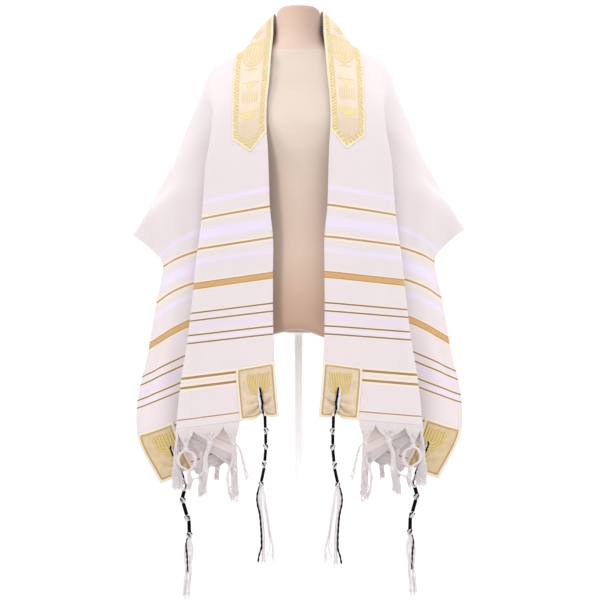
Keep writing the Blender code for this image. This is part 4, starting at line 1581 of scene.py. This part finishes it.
@dataclass
class Fringe:
    """The knotted fringe of one hem: yarns that gather from the hem into knotted locks."""

    surface: Surface
    side: Side
    seed: int = 7
    yarn_pitch: float = 1.55
    yarn_radius: float = 0.88
    steps: int = 46
    twist: float = 46.0
    depth: float = 5.5
    depth_share: float = 0.75
    curtain: float = 12.0
    curtain_aside: float = 0.08
    full_drop: float = 30.0
    near_knot: tuple[float, float, float] = (0.55, 0.66, 0.9)
    gather_power: float = 1.15
    free_from: float = 0.3
    sway: float = 0.3
    sway_length: float = 11.0
    sway_phase: float = 7.0
    loose_share: float = 0.3
    loose_sway: float = 1.6
    trim: float = 3.5
    knot_radius: float = 1.35
    knot_depth: float = 0.85
    golden_angle: float = 2.399963
    wraps: tuple[tuple[float, float, float], ...] = (
        (2.3, 3.9, 0.3), (0.0, 4.4, -0.35), (-2.3, 3.8, 0.25))

    def yarns(self, lock: Lock, draw: np.random.Generator) -> tuple[list[Array], Array]:
        """The yarns of one lock, told by their distance from the middle.

        A yarn leaves its own place on the hem, hangs straight in the curtain, and comes to its place
        in the round bundle at the knot; it keeps that place, slowly turning, down its cord.

        Args:
            lock: the lock.
            draw: where the random numbers come from.

        Returns:
            A list of yarns x points x 3 arrays, one a cord, and the lock's root.
        """
        count = round((lock.t1 - lock.t0) / self.yarn_pitch)
        t = lock.t0 + (np.arange(count) + 0.5) * (lock.t1 - lock.t0) / count
        end = self.surface.drape.half_length
        hem = self.surface.told(end, t)
        root = self.surface.told(end, (lock.t0 + lock.t1) / 2)
        edges = np.round(np.cumsum([0.0] + [c.share for c in lock.cords]) * count).astype(int)
        knot = lock.knots[0]
        curtain = self.curtain * min(1.0, knot.drop / self.full_drop)
        gather = [(0, 0, 0), (self.curtain_aside * knot.aside, curtain, 0),
                  np.multiply(self.near_knot, knot), knot]
        made = []
        for (_, levels), first, last in zip(lock.cords, edges[:-1], edges[1:]):
            n = last - first
            rows = np.array(gather + list(levels), float)
            reach = reaches(rows[:, :2])
            places = np.linspace(0, reach[-1], self.steps)
            aside, drop, half_width = cubic(reach, rows, places).T
            free = self.free_from * reach[1]
            gathered = smoothstep((places - free) / (reach[3] - free)) ** self.gather_power
            order = draw.permutation(n)
            size = np.sqrt((order + 0.5) / n)[:, None]
            turn = (self.golden_angle * order[:, None]
                    + 2 * np.pi * np.maximum(places - reach[3], 0) / self.twist)
            out = size * np.sin(turn) * np.minimum(half_width, self.depth) * self.depth_share
            sway = draw.normal(0, self.sway, (n, 3))
            loose = smoothstep((places / reach[-1] - 1) / self.loose_share + 1)
            phase = places / self.sway_length + self.sway_phase * sway[:, 1:2]
            wave = sway[:, :1] * np.sin(phase) * gathered + self.loose_sway * sway[:, 2:] * loose
            last_part = smoothstep((places - reach[-2]) / (reach[-1] - reach[-2]))
            cut = draw.normal(0, self.trim, (n, 1)) * last_part
            path = root + (hem[first:last] - root)[:, None] * (1 - gathered)[:, None]
            path += np.stack([aside + size * np.cos(turn) * half_width + wave, -out - 0.5 * wave,
                              cut - drop], -1)
            made.append(path)
        return made, root

    def build(self) -> None:
        """All the yarns of one hem, and the knots that tie them."""
        draw = np.random.default_rng(self.seed)
        parts, knots = [], []
        for lock in LOCKS:
            bundles, root = self.yarns(lock, draw)
            parts += [threads(bundle, self.yarn_radius, TOWARD, sides=5) for bundle in bundles]
            knots += [root + [knot.aside, 0.0, -knot.drop] for knot in lock.knots]
        name = self.side.label
        add_piece(f"fringe_yarns_{name}", Skin.joined(parts).on(self.side), FRINGE_YARN.made(),
                  [f"fringe_{name}"])
        self.tie(np.array(knots))

    def tie(self, centres: Array) -> None:
        """Plied yarn tied round each bundle: three slanting turns.

        Args:
            centres: knots x 3 places, told by their distance from the middle.
        """
        turn = circle(24)
        paths = []
        for wrap, (rise, wide, tilt) in enumerate(self.wraps):
            slant = rise + tilt * wide * np.cos(turn) + 0.5 * np.sin(turn + 2 * wrap)
            paths.append(centres[:, None] + polar(wide, turn, slant) * [1.0, self.knot_depth, 1.0])
        skin = tied(np.concatenate(paths), self.knot_radius, sides=8, ply=0.16, pitch=3.0)
        add_piece(f"fringe_knots_{self.side.label}", skin.on(self.side), FRINGE_YARN.made())


# ---------------------------------------------------------------- corner threads


class Point(NamedTuple):
    """A place in the plane that a corner thread hangs in: across and up."""

    x: float
    z: float


class Strand(NamedTuple):
    """A loose strand: places across at even shares of its fall, its end, and how far it stands out."""

    across: tuple[float, ...]
    end_z: float
    out: float
    navy: bool = False


@dataclass
class CornerThread:
    """The knotted thread of a corner: strands from an eyelet, wound and knotted, then loose."""

    surface: Surface
    side: Side
    place: str
    eyelet_t: float
    hem_t: float
    hang_y: float
    lead: tuple[Point, ...]
    windings: tuple[tuple[Point, Point], ...]
    knots: tuple[Point, ...]
    strands: tuple[Strand, ...]
    winding_radius: float
    navy_offset: float
    patch_face: float = 1.35
    hem_margin: float = 9.0
    eyelet_spread: float = 0.35
    hem_drawn: float = 0.7
    eyelet_depth: float = 3.0
    pressed: float = 0.85
    layer_step: float = 1.5
    clearance: float = 0.7
    strand_radius: float = 1.35
    navy_radius: float = 1.9
    loose_navy_radius: float = 1.7
    lead_radius: float = 1.6
    lead_angle: float = -1.7
    lead_turn: float = 1.9
    layers: tuple[tuple[float, int], ...] = ((2.8, 0), (1.1, 0), (-0.6, 0), (2.0, 1), (0.3, 1))
    eyelet_s: float = 855.0
    winding_pitch: float = 2.1
    winding_groove: float = 0.5
    winding_steps: int = 8
    steps: int = 26
    kept: tuple[int, ...] = (0, 1, 2, 3, 8, 16, 25)
    trefoil: tuple[float, float, float] = (2.7, 1.4, 3.4)
    trefoil_core: float = 2.6
    knot_turn: float = 0.9
    knot_radius: float = 1.15
    lead_steps: int = 64
    below_knot: float = 2.0
    loose_steps: int = 90
    bends: float = 9.0
    sway: float = 0.35
    sway_out: float = 0.8

    def over_patch(self) -> tuple[Skin, Skin]:
        """Strands side by side from the eyelet down over the patch, then twisted to the first winding.

        The white strands lie in two layers and the navy one on top of them at one side.  Past the hem
        each strand keeps its own angle round the lead's line, which turns slowly.

        Returns:
            The white strands and the navy one.
        """
        share = np.linspace(0, 1, self.steps)
        end_s = self.surface.drape.half_length - self.hem_margin
        s = self.eyelet_s + (end_s - self.eyelet_s) * share
        line = self.eyelet_t + (self.hem_t - self.eyelet_t) * share
        opened = self.eyelet_spread + (1 - self.eyelet_spread) * smoothstep(share * 4)
        spread = opened * (1 - self.hem_drawn * smoothstep(share * 2 - 1))
        sunk = (self.patch_face + self.eyelet_depth) * smoothstep(1 - share * 12)
        lead = np.array([(p.x, self.hang_y, p.z) for p in self.lead + self.windings[0][:1]], float)
        rows = [(*layer, self.strand_radius) for layer in self.layers]
        rows.append((self.navy_offset, 1, self.navy_radius))
        paths = []
        for k, (offset, layer, radius) in enumerate(rows):
            lift = (self.patch_face + radius * self.pressed + self.clearance - sunk
                    + self.strand_radius * self.layer_step * layer)
            path = self.surface.told(s, line + offset * spread, lift)[list(self.kept)]
            turn = (self.lead_angle + 2 * np.pi * (k + 1) / len(rows)
                    + self.lead_turn * np.linspace(0, 1, len(lead)))
            ring = polar(self.lead_radius, turn, 0.0)
            paths.append(resampled(np.vstack([path, lead + ring]), self.lead_steps))
        return (self.plied(paths[:-1], self.strand_radius, pitch=5.0),
                self.plied(paths[-1:], self.navy_radius, pitch=6.0))

    def plied(self, paths: Sequence[Array], radius: float, pitch: float) -> Skin:
        """Two-ply strands along open paths."""
        return threads(np.array(paths), radius, TOWARD, sides=8, ply=0.16, pitch=pitch)

    def wound(self) -> Skin:
        """Navy thread wound close round the strands between the knots.

        The radius round the core's line is that of a round thread in every turn: it bulges as a half
        circle once a pitch, and the phase turns with the angle, which makes it a helix.

        Returns:
            The windings as one skin.
        """
        turn = -circle(18)[None]
        parts = []
        for upper, lower in self.windings:
            start = np.array([upper.x, self.hang_y, upper.z])
            end = np.array([lower.x, self.hang_y, lower.z])
            length = np.linalg.norm(end - start)
            steps = int(length / self.winding_pitch * self.winding_steps)
            along = np.linspace(0, length, steps + 1)[:, None]
            phase = (along / self.winding_pitch + turn / (2 * np.pi)) % 1.0
            bulge = np.sqrt(np.clip(1 - (2 * phase - 1) ** 2, 0, 1))
            radius = (self.winding_radius + self.winding_groove * bulge)[..., None]
            axis = (end - start) / length
            x = unit(np.array([1.0, 0, 0]) - axis * axis[0])
            out = np.cos(turn)[..., None] * x + np.sin(turn)[..., None] * np.cross(axis, x)
            parts.append(lathe(start + axis * along[..., None] + radius * out))
        return Skin.joined(parts)

    def double_knots(self) -> tuple[Skin, Skin]:
        """Each knot as white strands tied over navy ones: closed trefoil lines round the core.

        A trefoil line is ((R + r cos 3a) cos 2a, (R + r cos 3a) sin 2a, h sin 3a).

        Returns:
            The white strands and the navy ones.
        """
        angle = circle(90)
        ring, bend, height = self.trefoil
        white, navy = [], []
        for k, knot in enumerate(self.knots):
            for group, turn, rise, size in ((white, 0.0, 1.2, 1.05), (white, 2.1, -2.6, 0.95),
                                            (navy, 1.0, 0.6, 1.0)):
                around = 2 * angle + turn + self.knot_turn * k
                scale = size * self.winding_radius / self.trefoil_core
                radius = (ring + bend * np.cos(3 * angle)) * scale
                core = np.array([knot.x, self.hang_y, knot.z + rise])
                group.append(core + polar(radius, around, height * size * np.sin(3 * angle)))
        return tuple(tied(np.array(paths), self.knot_radius, sides=7, ply=0.14, pitch=4.0)
                     for paths in (white, navy))

    def loose(self) -> tuple[Skin, Skin]:
        """The strands that hang free below the last knot.

        Returns:
            The white strands and the navy ones.
        """
        top = self.knots[-1].z - self.below_knot
        steps = self.loose_steps
        fade = smoothstep(np.linspace(0, 4, steps))
        white, navy = [], []
        for k, strand in enumerate(self.strands):
            share = np.linspace(0, 1, len(strand.across))
            z = top + (strand.end_z - top) * share
            y = self.hang_y + strand.out * smoothstep(share * 1.6)
            path = resampled(np.stack([strand.across, y, z], 1), steps)
            sway = self.sway * np.sin(np.linspace(0, self.bends + k, steps) + k) * fade
            path[:, 0] += sway
            path[:, 1] += self.sway_out * sway[::-1] * fade
            (navy if strand.navy else white).append(path)
        return (self.plied(white, self.strand_radius, pitch=6.0),
                self.plied(navy, self.loose_navy_radius, pitch=6.0))

    def build(self) -> None:
        """The white strands and the navy ones, as two pieces."""
        white, navy = zip(self.over_patch(), self.double_knots(), self.loose())
        navy = (navy[0], self.wound(), *navy[1:])
        name = f"{self.place}_{self.side.label}"
        for colour, parts, yarn, replaced in (("white", white, WHITE_YARN, [f"tassel_{name}"]),
                                              ("navy", navy, NAVY_THREAD, [])):
            add_piece(f"tassel_{colour}_{name}", Skin.joined(parts).on(self.side), yarn.made(),
                      replaced)


FRONT_LEAD = rows_of(Point, (70, 449), (66.5, 443))
FRONT_WINDINGS = tuple(rows_of(Point, upper, lower) for upper, lower in (
    ((65.6, 439), (65, 416)), ((64.2, 404), (64, 384)), ((64, 375), (66, 351)),
    ((67.2, 337), (72.6, 311))))
FRONT_KNOTS = rows_of(Point, (63.6, 410), (63.8, 379.5), (67.6, 344), (73, 306))
FRONT_STRANDS = rows_of(
    Strand,
    ((75, 79.5, 81, 79.5, 76.5, 75, 74, 73, 72.4, 72.6, 76.5, 79), 153, -1.5, True),
    ((74, 76.5, 77.6, 77, 74.5, 73, 72, 71, 70.3, 70.2, 71, 72), 150, 0.5),
    ((73, 74.6, 75.2, 74.6, 72.6, 71, 70, 69, 68.4, 68, 68.4, 69), 154, -2.2),
    ((72.5, 72.6, 72.6, 72, 70.4, 69, 68, 67.2, 66.4, 66, 66, 65), 151, 1.8),
    ((72, 69.5, 68, 66.5, 65, 62.8, 61, 59.4, 57.6, 55, 57, 62), 164, -1.0),
    ((71, 68, 66.5, 65, 63.4, 61, 59, 57, 55, 52, 50.5, 51.5), 166, 1.2),
    ((72, 66.6, 64.5, 63, 61, 58.5, 56.5, 54.5, 52, 49, 48, 49), 155, -1.6),
    ((71, 67.2, 65.4, 64, 62, 59.8, 58, 56, 53.6, 50.6, 49.4, 52.5), 160, 0.2),
)
OUTER_LEAD = rows_of(Point, (228.6, 314), (226.6, 306), (221.8, 296), (223.2, 291))
OUTER_WINDINGS = tuple(rows_of(Point, upper, lower) for upper, lower in (
    ((226.8, 287), (230.6, 273)), ((229, 264), (222, 240)), ((217.4, 228), (216.6, 205))))
OUTER_KNOTS = rows_of(Point, (230, 268.5), (220.4, 234), (216.6, 199.5))
OUTER_STRANDS = rows_of(
    Strand,
    ((218, 221, 222.6, 223, 222.6, 221.6, 220.8, 220.2, 219.8, 219.2, 218.6), 126, -1.8, True),
    ((218, 222.7, 226, 227.3, 226.3, 224.3, 222.1, 220.7, 222.2, 224.2, 225.7), 73, 0.6),
    ((217.5, 221.2, 224.4, 225.7, 225.1, 223.3, 224.1, 226.1, 227.3, 227.9, 228.7), 79, -1.0),
    ((217.5, 219.6, 221.4, 222.3, 221.3, 220.1, 221.5, 223.3, 224.7, 225.1, 225.3), 75, 1.7),
    ((217, 217.2, 218.2, 218.9, 218.3, 218.1, 217.3, 216.7, 219.1, 221.7, 222.7), 80, -1.9),
    ((217, 215.2, 215, 215.5, 215.7, 216.3, 216.1, 215.5, 216.3, 218.1, 218.7), 74, 1.3),
    ((216.5, 213.2, 212, 211.9, 212.9, 214.3, 215.3, 216.3, 217.1, 217.1, 217.3), 86, -1.1),
    ((216.5, 212, 209.8, 210.1, 211.3, 213.1, 213.1, 213.7, 214.7, 215.7, 216.1), 80, 0.3),
)


# ---------------------------------------------------------------- dress form and stand


class Level(NamedTuple):
    """A level of the form: half its width, its depth in front and behind, and its squareness."""

    z: float
    half_width: float
    front: float
    back: float
    power: float


LEVELS = rows_of(
    Level,
    (1262, 34, 33, 35, 2.0), (1257, 41, 40, 42, 2.0), (1244, 45, 44, 47, 2.0),
    (1205, 48, 47, 51, 2.0), (1186, 57, 50, 58, 2.0), (1172, 84, 52, 64, 2.0),
    (1156, 118, 53.5, 68, 2.1), (1140, 148, 57, 72, 2.3), (1124, 167, 66, 76, 2.5),
    (1100, 172, 76, 82, 2.6), (1060, 166, 96, 88, 2.5),
    (1022, 156, 108, 88, 2.4), (980, 142, 104, 84, 2.3), (930, 124, 90, 78, 2.2),
    (850, 113, 82, 72, 2.1), (780, 128, 84, 84, 2.1), (700, 150, 88, 96, 2.1), (650, 156, 88, 94, 2.1),
    (612, 153, 85, 90, 2.1), (604, 146, 80, 85, 2.1),
)


@dataclass
class DressForm:
    """A smooth limbless torso: rounded sections lofted through its levels, in jersey over foam.

    A section at angle a is (w sign(cos a) |cos a|^(2/p), d sign(sin a) |sin a|^(2/p)), where d is the
    depth in front or behind.
    """

    sides: int = 128
    steps: int = 150
    arch_drop: float = 22.0
    arch_half_width: float = 90.0
    arch_from: float = 700.0
    seat_z: float = 603.0
    inset: float = 0.3
    edge_rise: float = 5.5
    edge_slope: float = -0.06
    cap_rows: int = 8
    seat_rows: int = 14
    seat_share: float = 0.25

    def rings(self) -> Array:
        """The form's rings from the middle of its top to the middle of its underside.

        Returns:
            levels x sides x 3 places.
        """
        table = np.array(LEVELS, float)[::-1]
        rise = reaches(table[:, :2])
        rows = cubic(rise, table, np.linspace(0, rise[-1], self.steps))[::-1]
        z, half_width, front, back, power = rows.T[..., None]
        c, n = np.cos(circle(self.sides)), np.sin(circle(self.sides))
        x = (half_width - self.inset) * np.sign(c) * np.abs(c) ** (2 / power)
        y = (np.where(n > 0, back, front) - self.inset) * np.sign(n) * np.abs(n) ** (2 / power)
        reach = self.arch_half_width
        drop = self.arch_drop * np.sin(np.clip(np.abs(x) / reach, 0, 1) * np.pi / 2) ** 2
        drop = drop - self.edge_rise - self.edge_slope * np.clip(x, -reach, reach)
        fade = smoothstep((self.arch_from - z) / (self.arch_from - table[0, 0]))
        body = np.stack([x, y, z - fade * drop], -1)
        shrink = np.cos(np.linspace(0, np.pi / 2, self.cap_rows + 1)[1:-1])[::-1, None, None]
        top = body[0] * [1, 1, 0] * shrink + [0, 0, body[0, 0, 2]]
        share = np.linspace(1, 0.02, self.seat_rows)[1:, None]
        last_x, last_y, last_z = body[-1].T
        beyond = smoothstep((share - self.seat_share) / (1 - self.seat_share))
        low = self.seat_z + (last_z - self.seat_z) * beyond
        return np.concatenate([top, body, np.dstack([last_x * share, last_y * share, low])])

    def build(self) -> None:
        """The torso, as one closed piece."""
        add_piece("dress_form", lathe(self.rings()), JERSEY.made(), ["form_torso"])


@dataclass
class Stand:
    """A slim steel pole with a flange at each end, on a flat round base, all in white enamel."""

    seat_z: float = 602.7
    foot_z: float = 10.3
    pole_radius: float = 8.0
    flange_radius: float = 26.0
    flange: float = 4.0
    neck: tuple[float, float] = (6.0, 8.0)
    base_radius: float = 150.0
    base_height: float = 10.0
    edge: float = 3.0
    sides: int = 128

    def turned(self, name: str, replaced: str, profile: Array) -> None:
        """Adds a turned piece.

        Args:
            name: the piece's name.
            replaced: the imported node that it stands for.
            profile: rows of radius and height, from the top down.
        """
        radius, z = profile.T[..., None]
        add_piece(name, lathe(polar(radius, circle(self.sides), z)), ENAMEL.made(),
                  [replaced])

    def build(self) -> None:
        """The pole and the base."""
        quarter = np.linspace(0, np.pi / 2, 7)
        curve = np.stack([1 - np.sin(quarter), np.cos(quarter) - 1], 1)
        wide, low = self.flange_radius, self.seat_z - self.flange
        top = np.vstack([[(wide - 0.6, self.seat_z), (wide, self.seat_z - 0.6), (wide, low + 0.8),
                          (wide - 0.8, low)], curve * self.neck + [self.pole_radius, low]])
        foot = top[::-1] * [1, -1] + [0, self.foot_z + self.seat_z]
        self.turned("pole", "stand_pole",
                    np.vstack([[(1.0, self.seat_z)], top, foot, [(1.0, self.foot_z)]]))
        rim = curve * [-self.edge, self.edge] + [self.base_radius, self.base_height]
        self.turned("base_plate", "stand_base", np.vstack([
            [(1.0, self.base_height), (self.base_radius - 8, self.base_height)], rim,
            [(self.base_radius, 1.0), (self.base_radius - 1.0, 0.0), (1.0, 0.0)]]))


# ---------------------------------------------------------------- studio


@dataclass
class Studio:
    """Plain pale floor, soft even light from both sides, and a level camera."""

    distance: float = 3.3
    camera_height: float = 0.666
    camera_x: float = 0.00306
    frame_width: float = 1.224
    sensor: float = 36.0
    floor_size: float = 40.0
    floor_drop: float = 0.2
    zenith: float = 1.8
    aim_height: float = 0.75

    def floor(self) -> None:
        """One large pale sheet that the base stands on."""
        half = self.floor_size / 2 / MM
        lines = np.linspace(-half, half, 9)
        x, y = np.meshgrid(lines, lines, indexing="ij")
        mesh = bpy.data.meshes.new("studio_floor")
        places = np.stack([x, y, np.full(x.shape, -self.floor_drop)], -1).reshape(-1, 3) * MM
        mesh.from_pydata(places.tolist(), [], grid_quads(*x.shape).tolist())
        mesh.materials.append(FLOOR.made())
        made = bpy.data.objects.new("studio_floor", mesh)
        bpy.context.scene.collection.objects.link(made)

    def light(self, name: str, place: Sequence[float], size: float, power: float) -> bpy.types.Object:
        """A square soft white light that faces the middle of the cloth.

        Args:
            name: the light's name.
            place: where it stands, in metres.
            size: the length of its side in metres.
            power: in watts.

        Returns:
            The light.
        """
        lamp = bpy.data.lights.new(name, "AREA")
        lamp.size = size
        lamp.energy = power
        made = bpy.data.objects.new(name, lamp)
        made.location = place
        aim = Vector((0.0, 0.0, self.aim_height)) - Vector(place)
        made.rotation_euler = aim.to_track_quat("-Z", "Y").to_euler()
        bpy.context.scene.collection.objects.link(made)
        return made

    def surroundings(self) -> bpy.types.World:
        """White all round, and brighter towards the zenith, as under one wide overhead softbox.

        Returns:
            The world.
        """
        world = bpy.data.worlds.new("studio_white")
        world.use_nodes = True
        tree = world.node_tree
        way = add_node(tree, "ShaderNodeTexCoord").outputs["Generated"]
        up = add_node(tree, "ShaderNodeSeparateXYZ", {0: way}).outputs["Z"]
        strength = add_node(tree, "ShaderNodeMapRange", {0: up, 1: 0.0, 2: 1.0, 3: 1.0, 4: self.zenith})
        background = tree.nodes["Background"]
        background.inputs["Color"].default_value = (1.0, 1.0, 1.0, 1.0)
        tree.links.new(strength.outputs[0], background.inputs["Strength"])
        return world

    def build(self) -> None:
        """Floor, lights, surroundings and camera."""
        self.floor()
        self.light("soft_left", (-1.9, -2.4, 2.2), 1.6, 6)
        self.light("soft_right", (1.9, -2.4, 2.2), 1.6, 6)
        only = bpy.data.collections.new("form_only")
        only.objects.link(bpy.data.objects["dress_form"])
        for name, place, size, power in (("form_key", (-2.75, -1.3, 2.1), 0.7, 52),
                                         ("form_fill", (-1.3, -2.9, 0.4), 0.6, 42)):
            self.light(name, place, size, power).light_linking.receiver_collection = only
        scene = bpy.context.scene
        scene.world = self.surroundings()
        scene.view_settings.view_transform = "Standard"
        camera = bpy.data.cameras.new("camera")
        camera.sensor_width = self.sensor
        camera.lens = self.sensor * self.distance / self.frame_width
        made = bpy.data.objects.new("camera", camera)
        made.location = (self.camera_x, -self.distance, self.camera_height)
        made.rotation_euler = (np.pi / 2, 0.0, 0.0)
        scene.collection.objects.link(made)
        scene.camera = made


def main() -> None:
    """Builds every sub-assembly in order."""
    logging.basicConfig(level=logging.INFO, format="%(message)s")
    surface = Surface(Drape())
    DressForm().build()
    Stand().build()
    Shawl(surface).build()
    CollarBand(surface).build()
    for side in Side:
        CornerPatch(surface, side, "front", 0.0, 32.0, figure_t=32.0, top_width=71.0, skew=5.0).build()
        CornerPatch(surface, side, "outer", 444.0, 463.0, figure_t=471.0, braid_inset=8.0,
                    half_stroke=1.5, finish=GOLDEN_PATCH).build()
        Fringe(surface, side).build()
        CornerThread(surface, side, "front", 32.0, 33.5, -130.5, FRONT_LEAD, FRONT_WINDINGS,
                     FRONT_KNOTS, FRONT_STRANDS, winding_radius=2.6, navy_offset=-3.6).build()
        CornerThread(surface, side, "outer", 463.0, 464.0, -88.4, OUTER_LEAD, OUTER_WINDINGS,
                     OUTER_KNOTS, OUTER_STRANDS, winding_radius=3.3, navy_offset=3.2).build()
    Studio().build()


if __name__ == "__main__":
    main()
